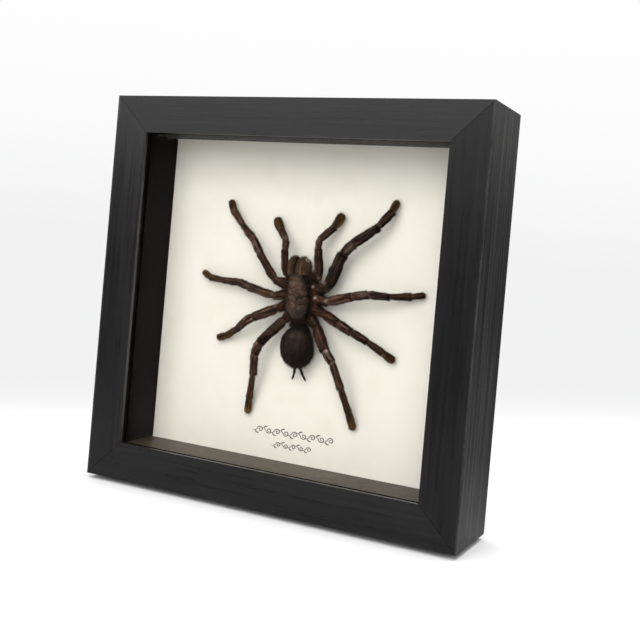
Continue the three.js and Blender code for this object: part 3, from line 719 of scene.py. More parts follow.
def limb(name):
    joints, radii = LIMBS[name]
    rng = np.random.default_rng(SEED + sorted(LIMBS).index(name))
    p = np.array(joints, float)
    turn_ = 1.0 if name.endswith("right") else -1.0
    tones = TONE[name]
    palp = name.startswith("palp")
    shell = Shell()
    last = len(radii) - 1
    run = 0.0
    up = np.array([0.0, 1.0, 0.0])
    skins = []
    for i, (a, b, c) in enumerate(radii):
        A, B = p[i], p[i + 1]
        L = np.linalg.norm(B - A)
        d = (B - A) / L
        top = unit(up - d * up.dot(d))
        # The side on which the segments' far ends step out, in the plane of the card.
        flat = np.array([d[0], 0.0, d[2]])
        out = unit(np.array([flat[2], 0.0, -flat[0]])) * turn_
        out = unit(out - d * out.dot(d))
        top = unit(top - out * top.dot(out))
        s0 = -0.35 * a if i else -0.1
        # A segment runs on past its joint, less so where the limb turns sharply.
        ahead = float(d.dot(unit(p[i + 2] - B))) if i < last else 1.0
        s1 = L + (c * min(0.30, 1.5 * (ahead - 0.72)) if i < last else 0.0)
        s1 = max(s1, L - 0.45 * c)
        n = max(16, int((s1 - s0) / 0.42))
        # Rings lie closer at the two ends, where the skin rounds over.
        q = 0.5 - 0.5 * np.cos(np.pi * np.linspace(0.0, 1.0, n + 2)[1:-1])
        q = 0.55 * q + 0.45 * np.linspace(0.0, 1.0, n + 2)[1:-1]
        s = s0 + (s1 - s0) * q
        t = s / L
        if i < last:
            prof = np.interp(t, [-0.2, 0.0, 0.07, 0.18, 0.5, 0.82, 0.93, 1.0, 1.2], [0.74 * a, 0.80 * a, 0.92 * a, a, b, c, 1.05 * c, 1.05 * c, 1.0 * c])
            cap0 = np.sqrt(np.clip(1 - ((s0 + 0.8 * a - s) / (0.8 * a)).clip(0, 1) ** 2, 0.0004, 1))
            cap1 = np.sqrt(np.clip(1 - ((s - (s1 - 0.70 * c)) / (0.70 * c)).clip(0, 1) ** 2.3, 0.0004, 1))
        else:
            prof = np.interp(t, [-0.2, 0.0, 0.08, 0.2, 0.5, 0.8, 1.0], [0.74 * a, 0.82 * a, 0.93 * a, a, b, c, 1.0 * c])
            cap0 = np.sqrt(np.clip(1 - ((s0 + 0.8 * a - s) / (0.8 * a)).clip(0, 1) ** 2, 0.0004, 1))
            cap1 = np.sqrt(np.clip(1 - ((s - (s1 - 1.15 * c)) / (1.15 * c)).clip(0, 1) ** 2, 0.0004, 1))
        r = prof * cap0 * cap1 * SWELL * (1.06 if i == last else 1.0)
        step = 0.0 if i == last else 0.09
        lean = -0.10 * a * (1 - smooth(0.0, 0.22, t)) * (1 if i else 0) + step * c * smooth(0.78, 0.97, t)
        bow = 0.16 * a * np.sin(np.pi * np.clip(t, 0, 1)) * (0.6 if i in (1, 3) else 0.2)
        th = (np.arange(LIMB_SIDES) + 0.5) / LIMB_SIDES * 2 * np.pi
        rings, tint, tags, bare = [], [], [], []
        wave = rng.random() * 10
        hollow_at = (0.5 + 0.16 * rng.normal()) * np.pi  # where the dried side sinks
        hollow = (0.13 if i in (1, 2, 3) else 0.06) * (1.0 + 0.4 * rng.random())
        for sj, rj, tj, lj, bj in zip(s, r, t, lean, bow):
            base = A + d * sj + out * (lj + 0.4 * bj) + top * (bj - 0.02 * a)
            pts3 = np.stack([np.cos(th) * 1.6 + wave, np.sin(th) * 1.6, np.full(LIMB_SIDES, sj * 0.42 + 7 * i)], 1)
            rough_ = 1 + 0.10 * (lattice(pts3, SEED + i) - 0.5) * 2 + 0.085 * (lattice(pts3 * 2.3 + 5, SEED + 7 * i) - 0.5) * 2
            ridge = 1 + 0.028 * np.cos(th * 7 + 2.2 * lattice(np.array([[sj * 0.1, i, wave]]), 9)[0] * np.pi)
            away = np.angle(np.exp(1j * (th - hollow_at)))
            sink = 1 - hollow * np.exp(-(away / 0.55) ** 2) * float(np.sin(np.pi * np.clip(tj, 0, 1)))
            rr = rj * rough_ * ridge * sink
            rings.append(base + np.outer(np.cos(th) * rr, out) + np.outer(np.sin(th) * rr * 0.96, top))
            tags.append(np.stack([np.full(LIMB_SIDES, run + sj), th * max(b, 1.0) * 1.0, np.full(LIMB_SIDES, float(i))], 1))
            # Painted highlight along two lines on the upper side, painted shade along the middle between them, and
            # painted shade making the sides and underside darker than the top.
            upper = np.sin(th)
            turn = np.angle(np.exp(1j * (th - np.pi / 2)))
            broken = 0.35 + 1.1 * lattice(np.array([[sj * 0.45, 3.0 * i, wave], [sj * 0.45, 3.0 * i, wave + 5]]), 8)
            highlight_stripes = np.exp(-((turn - 0.50) / 0.20) ** 2) * broken[0] + np.exp(-((turn + 0.62) / 0.20) ** 2) * broken[1]
            highlight_stripes = np.clip(highlight_stripes, 0, 1)
            k = 0.58 + 0.62 * upper
            col = BROWN * k[:, None]
            amount = (0.62 if i == 2 else 0.50 if i == 3 else 0.34 if i == 1 else 0.10) * float(smooth(0.02, 0.2, tj) * (1 - smooth(0.8, 0.98, tj)))
            col = col * (1 - (amount * highlight_stripes)[:, None]) + PALE * (amount * highlight_stripes)[:, None]
            bare.append(1 - 0.85 * highlight_stripes * float(smooth(0.02, 0.2, tj) * (1 - smooth(0.8, 0.98, tj))) * (1.0 if i in (1, 2, 3) else 0.3))
            mid = np.exp(-(np.angle(np.exp(1j * (th - np.pi / 2))) / 0.26) ** 2) * (0.45 if i in (1, 3) else 0.15)
            col = col * (1 - mid[:, None]) + DARK * 1.2 * mid[:, None]
            # Pale skin just inside each joint and a dark ring at each far rim.
            near = float(np.exp(-((sj - 0.30 * a) / (0.42 * a)) ** 2)) * (0.42 if i else 0)
            col = col * (1 - near) + SKIN * near * 0.8
            rim = float(np.exp(-((sj - (L - 0.1 * c)) / (0.34 * c)) ** 2)) * (0.5 if i < last else 0)
            col = col * (1 - rim) + DARK * rim
            if i == last or i == last - 1:
                pad = 0.85 if i == last else 0.45 * float(smooth(0.2, 0.7, tj))
                col = col * (1 - pad) + OLIVE * pad
            mott = lattice(np.stack([np.cos(th) * 2.6 + 3 * wave, np.sin(th) * 2.6, np.full(LIMB_SIDES, sj * 0.30 + 5 * i)], 1), SEED + 90 + i)
            mott2 = lattice(np.stack([np.cos(th) * 5.0 + wave, np.sin(th) * 5.0, np.full(LIMB_SIDES, sj * 1.1 + 5 * i)], 1), SEED + 91 + i)
            streak = lattice(np.stack([np.cos(th) * 4.2 + 2 * wave, np.sin(th) * 4.2, np.full(LIMB_SIDES, sj * 0.13 + 3 * i)], 1), SEED + 92 + i)
            mott, mott2, streak = smooth(0.22, 0.78, mott), smooth(0.25, 0.75, mott2), smooth(0.30, 0.70, streak)
            col = col * ((0.32 + 0.80 * mott + 0.52 * mott2) * (0.36 + 1.28 * streak))[:, None]
            tint.append(col * tones[i])
        v, f = skin(rings)
        f, vn = facing(v, f)
        tint = np.concatenate(tint + [tint[0][:1], tint[-1][:1]])
        tags = np.concatenate(tags + [tags[0][:1], tags[-1][:1]])
        bare = np.concatenate(bare + [bare[0][:1], bare[-1][:1]])
        tint = marks(v, tint, SPOTS)
        shell.add(v, f, tint, tags, 0)
        skins.append((v, f, vn, d, tint, i, L, (a, b, c), A, bare))
        if i < last:
            # The ball of skin in the joint.
            g = np.linspace(0, np.pi, 9)[1:-1]
            e = unit(unit(d) + unit(p[i + 2] - B))
            rad = 0.86 * min(c, radii[i + 1][0])
            s_, t_ = unit(out - e * out.dot(e)), None
            t_ = np.cross(e, s_)
            ball = [B + e * (-np.cos(x) * rad) + np.sin(x) * rad * (np.outer(np.cos(th[::2]), s_) + np.outer(np.sin(th[::2]), t_)) for x in g]
            bv, bf = skin(ball)
            bf, _ = facing(bv, bf)
            shell.add(bv, bf, marks(bv, np.tile(SKIN * 0.55 * tones[i], (len(bv), 1)), SPOTS), np.zeros((len(bv), 3)), 0)
        run += L
    # Hair: short and close on every segment, longer bristles here and there, dense pads on the feet.
    for v, f, vn, d, tint, i, L, (a, b, c), A, bare in skins:
        along = (v - A) @ d
        inside = smooth(-0.1, 0.5, along / a) if i else smooth(0.1, 0.4, along / L)
        bald = 1 - 0.75 * np.exp(-((along - 0.3 * a) / (0.6 * a)) ** 2) * (1 if i else 0)
        weight = inside * bald * bare + 1e-4
        area = 2 * np.pi * b * L
        foot = i == last
        dens = 26 if foot else 14
        count = int(area * dens)
        root, nrm, mixed = sow(rng, v, f, vn, count, weight)
        base = mixed(tint)
        k = np.exp(0.30 * rng.normal(size=count))[:, None]
        lift = (0.42 if not foot else 0.85) + 0.22 * rng.random(count)
        aim = d + nrm * lift[:, None] + 0.16 * rng.normal(size=(count, 3))
        if foot:
            aim = d * (0.55 + 0.3 * rng.random(count))[:, None] + nrm + 0.22 * rng.normal(size=(count, 3))
        length = (0.42 + 0.5 * rng.random(count)) * (0.62 if foot else 1.0)
        bristles(shell, rng, root - nrm * 0.05, aim, length, 0.085 if not foot else 0.09, base * k * 1.08, 1, bends=1, dark_root=0.7)
        more = int(area * (3.2 if not foot else 2.0))
        root, nrm, mixed = sow(rng, v, f, vn, more, weight)
        base = mixed(tint)
        warm = np.array([1.35, 1.22, 1.05])
        k = np.exp(0.35 * rng.normal(size=more))[:, None]
        aim = d * 0.9 + nrm * (0.5 + 0.5 * rng.random(more))[:, None] + 0.2 * rng.normal(size=(more, 3))
        bristles(
            shell, rng, root - nrm * 0.05, aim, 0.8 + 1.1 * rng.random(more) ** 2, 0.095, base * warm * k, 1,
            droop=d * 0.22 - nrm * 0.12, bends=2,
        )
        if name == "palp_right" and i == 0:
            # A tuft stands beside the jaw.
            tuft = 420
            root, nrm, mixed = sow(rng, v, f, vn, tuft, smooth(-0.5, 0.4, vn[:, 1] + vn[:, 2]) + 0.05)
            aim = np.stack([0.25 * rng.normal(size=tuft) - 0.1, 0.5 + 0.4 * rng.normal(size=tuft), 0.9 + 0.3 * rng.normal(size=tuft)], 1)
            col = np.array([0.044, 0.024, 0.016]) * np.exp(0.45 * rng.normal(size=tuft))[:, None]
            bristles(shell, rng, root - nrm * 0.1, aim, 1.0 + 2.4 * rng.random(tuft), 0.10, col, 1, bends=3)
    # Two claws hidden in the pad at the tip.
    d = unit(p[-1] - p[-2])
    side = unit(np.cross(d, up))
    for s_ in (-1, 1):
        bristles(shell, rng, (p[-1] - d * 0.5 + side * 0.35 * s_)[None], (d + 0.2 * side * s_)[None], np.array([1.1]), np.array([0.28]), DARK[None] * 0.7, 0, droop=(-up * 0.5)[None], bends=4)
    shell.build(name + "_bristled", [limb_shell, limb_hair], "limb", name)


for name in LIMBS:
    limb(name)

# ---------------------------------------------------------------- spider: carapace
shell = Shell()
rng = np.random.default_rng(SEED + 50)
CX0, CZ0, CRX, CRZ = 2.55, 102.95, 6.85, 12.45
LEAN = 0.075  # the head lies a little to the left of the tail


def half_width(q):
    """Half the carapace's width over its length: q is -1 at its rear and +1 at its front."""
    return np.interp(
        q,
        [-1.0, -0.97, -0.9, -0.78, -0.6, -0.4, -0.15, 0.05, 0.25, 0.42, 0.6, 0.85, 0.95, 1.0],
        [0.26, 0.42, 0.60, 0.77, 0.91, 0.975, 0.995, 1.0, 0.975, 0.935, 0.89, 0.84, 0.79, 0.68],
    )


def carapace_height(x, z):
    """Height of the carapace's upper side over the card, from x across and z along its middle."""
    q = (z - CZ0) / CRZ
    x = x + LEAN * (z - CZ0)
    s = np.abs(x - CX0) / (CRX * np.maximum(half_width(q), 0.05))
    dome = 8.4 + 3.1 * np.sqrt(np.clip(1 - np.minimum(s, 1) ** 2.6, 0, 1)) * np.sqrt(np.clip(1 - np.abs(np.minimum(q, 0)) ** 2.6, 0, 1)) * (1 - 0.16 * smooth(0.86, 1.0, q))
    # The head region stands up in front, between two sloping grooves.
    head = smooth(-0.02, 0.30, q) * (1 - smooth(0.55, 0.95, s / (0.86 + 0.06 * q))) * (1 - 0.25 * smooth(0.85, 1.0, q))
    dome = dome + 1.15 * head
    return dome


N_T, N_R = 156, 54
th = np.arange(N_T) / N_T * 2 * np.pi
rings, cols, tags = [], [], []


def rim_curve(angles):
    """The rim as a smooth closed curve with even steps round it."""
    q = np.sin(angles)
    w = half_width(q)
    c = np.cos(angles)
    z = CZ0 + CRZ * q
    x = CX0 - LEAN * (z - CZ0) + CRX * w * np.tanh(3.4 * c) / np.tanh(3.4)
    return x, z


rx, rz = rim_curve(th)
fov_x, fov_z = on_card(300.0, 298.5, 11.6)


def fold(x, z, a, size, seed):
    """Ridged noise, longer in the direction a: 1 along its creases, 0 between them."""
    u = x * math.cos(a) + z * math.sin(a)
    w = -x * math.sin(a) + z * math.cos(a)
    n = lattice(np.stack([u / (2.2 * size) + 31, w / size + 17, np.full(len(x), 0.5 + seed)], 1), seed)
    return 1 - np.abs(2 * n - 1)


CREASES = [  # folds seen in the photo: strength, width in pixels, and the points they run through
    (1.0, 0.85, [(295.5, 300.5), (299.0, 298.4), (303.5, 296.8), (310.5, 295.0)]),
    (0.8, 0.80, [(295.0, 304.6), (299.0, 302.6), (304.0, 301.2), (309.0, 300.8)]),
    (0.7, 0.75, [(303.5, 288.0), (301.5, 293.0), (299.0, 298.0)]),
    (0.6, 0.80, [(289.5, 286.0), (292.0, 292.5), (296.0, 299.5)]),
    (0.6, 0.80, [(288.5, 300.0), (293.0, 301.5), (297.0, 304.0)]),
    (0.9, 0.80, [(288.3, 281.0), (287.6, 290.0), (287.8, 300.0), (289.0, 308.0)]),
    (0.8, 0.80, [(303.4, 274.5), (303.8, 280.0), (303.4, 287.0)]),
    (0.6, 0.80, [(291.0, 311.0), (296.0, 308.0), (301.0, 307.5), (307.0, 309.5)]),
    (0.5, 0.80, [(293.5, 316.0), (299.0, 313.0), (305.0, 314.5)]),
    (0.5, 0.70, [(294.0, 287.0), (297.5, 290.5), (299.0, 295.0)]),
]


def folded(at):
    """How deep each picture point lies in one of the creases."""
    out = np.zeros(len(at))
    for k, w, line in CREASES:
        d = np.full(len(at), 1e9)
        for a, b in zip(line[:-1], line[1:]):
            a, b = np.array(a), np.array(b)
            t_ = np.clip(((at - a) @ (b - a)) / ((b - a) @ (b - a)), 0, 1)
            d = np.minimum(d, np.hypot(*(at - a - t_[:, None] * (b - a)).T))
        out = np.maximum(out, k * np.exp(-((d / w) ** 2)))
    return out


for j in range(N_R):
    rho = (j + 0.35) / (N_R - 0.65)
    mid = CX0 - LEAN * (rz - CZ0) * rho
    x = mid + (rx - (CX0 - LEAN * (rz - CZ0))) * rho
    z = CZ0 + (rz - CZ0) * rho
    h = carapace_height(x, z)
    # Grooves that run out from the middle pit towards the legs.
    ang = np.arctan2(z - fov_z, np.abs(x - fov_x) + 1e-6)
    dist = np.hypot(x - fov_x, z - fov_z)
    g = np.zeros(N_T)
    for a0, deep in ((0.80, 1.3), (0.30, 0.55), (-0.24, 0.6), (-0.80, 0.45)):
        wob = a0 + 0.16 * (lattice(np.stack([dist * 0.5, np.sign(x - fov_x) * 3.0, np.full(N_T, a0 * 9)], 1), 41) - 0.5)
        g += deep * np.exp(-((ang - wob) / 0.12) ** 2) * smooth(1.0, 3.0, dist) * (1 - smooth(5.0, 7.8, dist))
    h = h - 0.40 * g
    pit = np.exp(-((x - fov_x) / 2.3) ** 2 - ((z - fov_z) / 0.42) ** 2)
    pit2 = 0.6 * np.exp(-((x - fov_x - 0.3) / 2.4) ** 2 - ((z - fov_z + 3.2) / 0.45) ** 2)
    h = h - 0.9 * pit - 0.6 * pit2
    # The shell has dried in folds.
    crease = 0.55 * fold(x, z, 0.5, 2.3, 51) + 0.45 * fold(x, z, -0.7, 1.7, 52)
    crease = crease * (1 - smooth(0.80, 0.98, rho)) * (0.55 + 0.45 * (1 - smooth(0.35, 0.8, (z - CZ0) / CRZ)))
    pts = np.stack([x * 0.55, z * 0.55, np.full(N_T, 3.0)], 1)
    h = h + 0.95 * (crease - 0.5) + 0.5 * (lattice(pts, 5) - 0.5) + 0.25 * (lattice(pts * 2.7, 6) - 0.5)
    # A furrow follows the edge.
    h = h - 0.45 * np.exp(-((rho - 0.88) / 0.035) ** 2)
    if rho > 0.95:  # the rim turns down
        h = h - 1.1 * ((rho - 0.95) / 0.05) ** 2
    sunk = folded(on_picture(to_row(np.stack([x, h, z], 1))))
    h = h - 0.5 * sunk
    q = (z - CZ0) / CRZ
    s = np.abs(x + LEAN * (z - CZ0) - CX0) / (CRX * half_width(q))
    rings.append(np.stack([x, h, z], 1))
    tan = np.array([0.074, 0.043, 0.028])
    base = np.tile(tan, (N_T, 1))
    # Painted light and shade: lighter on the left and darker on the right side; painted shade in the grooves, pits,
    # creases, furrow and rim and on the flanks; lighter on the head, darker towards the tail.
    shell_tone_and_shade = 0.78 + 0.30 * smooth(0.1, 0.6, q) * (1 - smooth(0.2, 0.9, s)) - 0.20 * smooth(0.6, 1.0, s)
    shell_tone_and_shade = shell_tone_and_shade * (1.08 - 0.42 * smooth(CX0 - 4.5, CX0 + 5.0, x)) * (1 - 0.50 * smooth(-0.30, -0.85, q))
    shell_tone_and_shade = shell_tone_and_shade * (1 - 0.34 * np.clip(g, 0, 1.3)) * (1 - 0.55 * pit) * (1 - 0.5 * pit2)
    shell_tone_and_shade = shell_tone_and_shade * (0.34 + 1.25 * crease ** 1.3) * (0.62 + 0.76 * lattice(pts * 1.6 + 9, 12)) * (0.80 + 0.4 * lattice(pts * 5.2 + 2, 13))
    shell_tone_and_shade = shell_tone_and_shade * (1 - 0.45 * np.exp(-((rho - 0.88) / 0.04) ** 2)) * (1 - 0.72 * sunk)
    shell_tone_and_shade = shell_tone_and_shade * (1 - 0.42 * float(smooth(0.89, 0.96, rho)) * smooth(CX0 + 3.5, CX0 + 0.5, x))
    cols.append(base * shell_tone_and_shade[:, None])
    tags.append(np.stack([dist, ang * 4, np.full(N_T, 2.0)], 1))
# Under the rim the body narrows to the breast plate.
for k, (h, sx, sz) in enumerate([(8.0, 0.97, 0.96), (7.3, 1.16, 0.93), (6.5, 1.36, 0.90), (5.6, 1.40, 0.88), (4.6, 1.16, 0.82), (3.6, 0.72, 0.74), (2.9, 0.46, 0.6)]):
    rings.append(np.stack([CX0 + (rx - CX0) * sx, np.full(N_T, h), CZ0 + (rz - CZ0) * sz], 1))
    cols.append(np.tile(DARK, (N_T, 1)))
    tags.append(np.stack([np.full(N_T, float(k)), th * 6, np.full(N_T, 3.0)], 1))
v, f = skin(rings)
f, vn = facing(v, f)
c = np.concatenate(cols + [cols[0][:1], cols[-1][:1]])
w = np.concatenate(tags + [tags[0][:1], tags[-1][:1]])
SHELL_PALE = np.array([0.112, 0.072, 0.054])
SHELL_OLIVE = np.array([0.088, 0.066, 0.044])
SHELL_DULL = np.array([0.030, 0.021, 0.021])
CARAPACE_SPOTS = [  # marks of colour, painted highlights on raised facets and painted shade in folds and grooves
    (297.0, 281.0, 4.2, SHELL_OLIVE, 0.45),
    (293.3, 283.5, 2.6, SHELL_PALE, 0.45),
    (298.0, 275.2, 1.5, SHELL_PALE, 0.45),
    (301.0, 274.8, 1.1, SHELL_PALE, 0.40),
    (291.7, 279.9, 1.3, DARK * 0.25, 0.95),
    # A painted shade stripe down the steep right side of the head.
    (304.8, 275.5, 1.4, BLUE * 0.25, 0.90),
    (305.2, 280.0, 1.4, BLUE * 0.25, 0.88),
    (305.6, 284.5, 1.4, BLUE * 0.25, 0.85),
    (305.8, 288.5, 1.5, BLUE * 0.50, 0.70),
    (309.4, 279.0, 1.6, SHELL_PALE * 0.7, 0.70),
    (310.0, 286.0, 1.6, SHELL_PALE * 0.7, 0.70),
    (310.2, 293.5, 1.6, SHELL_PALE * 0.6, 0.60),
    (292.0, 291.5, 2.8, SHELL_PALE, 0.50),
    (300.2, 289.8, 2.4, SHELL_DULL, 0.50),
    (301.8, 292.9, 2.5, SHELL_PALE, 0.55),
    (305.2, 293.4, 1.6, SHELL_PALE, 0.45),
    (299.2, 296.3, 1.0, DARK * 0.8, 0.60),
    (302.8, 296.0, 1.0, DARK * 0.8, 0.60),
    (306.2, 295.8, 1.0, DARK * 0.8, 0.60),
    (292.3, 297.5, 2.8, SHELL_OLIVE, 0.45),
    (299.0, 299.0, 1.3, SHELL_PALE, 0.45),
    (303.5, 299.0, 2.4, SHELL_DULL, 0.60),
    (308.0, 300.7, 1.3, SHELL_PALE, 0.60),
    (301.2, 303.8, 1.8, DARK * 0.9, 0.55),
    (304.5, 305.0, 2.2, DARK * 0.9, 0.60),
    (293.0, 305.0, 2.3, SHELL_OLIVE, 0.50),
    (298.0, 308.6, 2.2, SHELL_PALE * 0.8, 0.45),
    (299.5, 314.5, 4.2, SHELL_DULL, 0.70),
    (305.4, 310.5, 3.2, SHELL_DULL * 0.85, 0.70),
    (290.5, 313.0, 3.0, SHELL_DULL * 1.2, 0.60),
]
c = marks(v, c, CARAPACE_SPOTS)
shell.add(v, f, c, w, 0)
up = np.array([0.0, 1.0, 0.0])
# Short hair that lies flat, combed out and forward.
topside = smooth(0.1, 0.5, vn[:, 1]) * smooth(7.8, 8.6, v[:, 1]) + 1e-4
edge = np.abs(v[:, 0] + LEAN * (v[:, 2] - CZ0) - CX0) / (CRX * half_width((v[:, 2] - CZ0) / CRZ))
topside = topside * (0.16 + 0.84 * smooth(0.62, 0.98, edge))
n = 4600
root, nrm, mixed = sow(rng, v, f, vn, n, topside)
base = mixed(c)
away = unit(np.stack([(root[:, 0] - CX0) * 0.6, np.zeros(n), (root[:, 2] - (CZ0 - 3)) * 0.35 + 2.0], 1))
k = np.exp(0.30 * rng.normal(size=n))[:, None]
bristles(shell, rng, root - nrm * 0.04, away + nrm * (0.28 + 0.2 * rng.random(n))[:, None] + 0.2 * rng.normal(size=(n, 3)), 0.4 + 0.45 * rng.random(n), 0.07, base * k * 1.12, 1, bends=1, dark_root=0.8)
n = 1100
root, nrm, mixed = sow(rng, v, f, vn, n, topside)
base = mixed(c)
away = unit(np.stack([(root[:, 0] - CX0) * 0.6, np.zeros(n), (root[:, 2] - (CZ0 - 3)) * 0.35 + 2.0], 1))
bristles(shell, rng, root - nrm * 0.04, away + nrm * (0.6 + 0.5 * rng.random(n))[:, None] + 0.2 * rng.normal(size=(n, 3)), 0.7 + 0.9 * rng.random(n), 0.07, base * 1.25, 1, droop=-up[None] * np.ones((n, 1)) * 0.2, bends=3)
# Hair on the flanks under it, where the legs come out.
flank = smooth(0.15, -0.05, vn[:, 1] - 0.35) * smooth(7.9, 7.2, v[:, 1]) * smooth(4.2, 5.0, v[:, 1]) + 1e-4
n = 5200
root, nrm, mixed = sow(rng, v, f, vn, n, flank)
col = np.tile(np.array([0.036, 0.0195, 0.0125]), (n, 1)) * np.exp(0.45 * rng.normal(size=n))[:, None]
bristles(shell, rng, root - nrm * 0.05, nrm * 0.8 + up * (0.5 + 0.5 * rng.random(n))[:, None] + 0.35 * rng.normal(size=(n, 3)), 0.7 + 0.9 * rng.random(n), 0.09, col, 1, bends=1)
# A fringe round the rim, rusty at the rear.
n = 5200
a = rng.random(n) * 2 * np.pi
fx, fz = rim_curve(a)
q = (fz - CZ0) / CRZ
root = np.stack([fx, 8.2 + 0.5 * rng.random(n), fz], 1)
aim = unit(np.stack([(fx - CX0 + LEAN * (fz - CZ0)) / CRX**2 * 60, np.zeros(n), (fz - CZ0) / CRZ**2 * 60], 1)) + up * (0.15 + 0.35 * rng.normal(size=n))[:, None] + 0.35 * rng.normal(size=(n, 3))
col = np.tile(np.array([0.040, 0.022, 0.015]), (n, 1)) * np.exp(0.40 * rng.normal(size=n))[:, None]
rear = 0.75 * smooth(-0.86, -0.98, q)[:, None]
col = col * (1 - rear) + np.array([0.060, 0.024, 0.010]) * np.exp(0.6 * rng.normal(size=n))[:, None] * rear
front = smooth(0.9, 0.99, q)
bristles(shell, rng, root - unit(aim) * 0.2, aim, (0.7 + 0.8 * rng.random(n)) * (1 - 0.4 * front), 0.08, col, 1, droop=-up[None] * np.ones((n, 1)) * 0.15, bends=2)
# The low mound with the eyes, at the front of the head.
ex, ez = on_card(299.0, 276.5, 12.6)
eye_top = float(carapace_height(np.array([ex]), np.array([ez]))[0])
g = np.linspace(0.06, np.pi / 2 + 0.3, 7)
t8 = np.arange(20) / 20 * 2 * np.pi
mound = [np.stack([ex + 1.15 * math.sin(x) * np.cos(t8), np.full(20, eye_top - 0.35 + 0.75 * math.cos(x)), ez + 0.75 * math.sin(x) * np.sin(t8)], 1) for x in g]
v, f = skin(mound)
f, vn = facing(v, f)
shell.add(v, f, np.tile(np.array([0.050, 0.034, 0.024]), (len(v), 1)), np.zeros((len(v), 3)), 0)
for dx, dz, r in ((-0.75, 0.12, 0.20), (0.75, 0.12, 0.20), (-0.32, 0.25, 0.24), (0.32, 0.25, 0.24), (-0.62, -0.28, 0.17), (0.62, -0.28, 0.17), (-0.30, -0.34, 0.13), (0.30, -0.34, 0.13)):
    hh = eye_top - 0.35 + 0.75 * math.sqrt(max(0.0, 1 - (dx / 1.15) ** 2 - (dz / 0.75) ** 2))
    ball = [np.stack([ex + dx + r * math.sin(x) * np.cos(t8[::2]), np.full(10, hh + r * 0.8 * math.cos(x)), ez + dz + r * math.sin(x) * np.sin(t8[::2])], 1) for x in np.linspace(0.15, np.pi - 0.15, 6)]
    v, f = skin(ball)
    f, _ = facing(v, f)
    shell.add(v, f, np.tile(np.array([0.006, 0.005, 0.005]), (len(v), 1)), np.zeros((len(v), 3)), 2)
m, t = net("eye_lens")
at = coords(t)
tone = ramp(t, noise(t, at, 3000.0, 1.0, 0.5), [(0.3, (0.003, 0.003, 0.003)), (0.7, (0.014, 0.012, 0.010))])
surface(t, tone, spread(t, noise(t, at, 2500.0, 1.0, 0.5), 0.3, 0.7, 0.10, 0.22), Specular_IOR_Level=0.6)
eye_lens = m
shell.build("carapace_haired", [body_shell, body_hair, eye_lens], "carapace", "cephalothorax")

# ---------------------------------------------------------------- spider: chelicerae
# Where their edges show in the photo, in pixels: the row, then the left, middle and right edge.
JAW_EDGES = np.array([
    (254.0, 292.4, 300.6, 309.6),
    (256.0, 291.6, 300.0, 310.3),
    (258.0, 290.4, 299.1, 311.0),
    (260.0, 289.5, 298.3, 311.4),
    (263.0, 288.8, 297.2, 311.5),
    (266.5, 288.4, 296.3, 311.5),
    (270.0, 288.1, 295.6, 311.4),
    (273.0, 287.9, 295.0, 311.4),
    (276.0, 287.9, 294.7, 311.2),
    (280.0, 288.2, 294.5, 311.0),
]).T


def jaw_span(z, side, hc, hh):
    """The middle and half width, in mm, that put a chelicera's outline on those edges."""
    at = on_picture(to_row(np.array([[0.0, hc, z], [1.0, hc, z], [0.0, hc + 1.0, z]])))
    a, m_, b = (float(np.interp(at[0, 1], JAW_EDGES[0], JAW_EDGES[i])) for i in (1, 2, 3))
    px, tall = at[1, 0] - at[0, 0], (at[2, 0] - at[0, 0]) * hh
    half = math.sqrt(max(((b - m_) / 2) ** 2 - tall**2, 4.0)) / px
    right = ((m_ + b) / 2 - at[0, 0]) / px
    if side < 0:
        return right, half
    # The left one is partly hidden behind the right one, whose inner side it touches.
    edge = right - half - 0.12
    k = at[0, 0] + px * edge - a
    half = max((k * k - tall**2) / (2 * px * k), 1.1)
    return edge - half, half


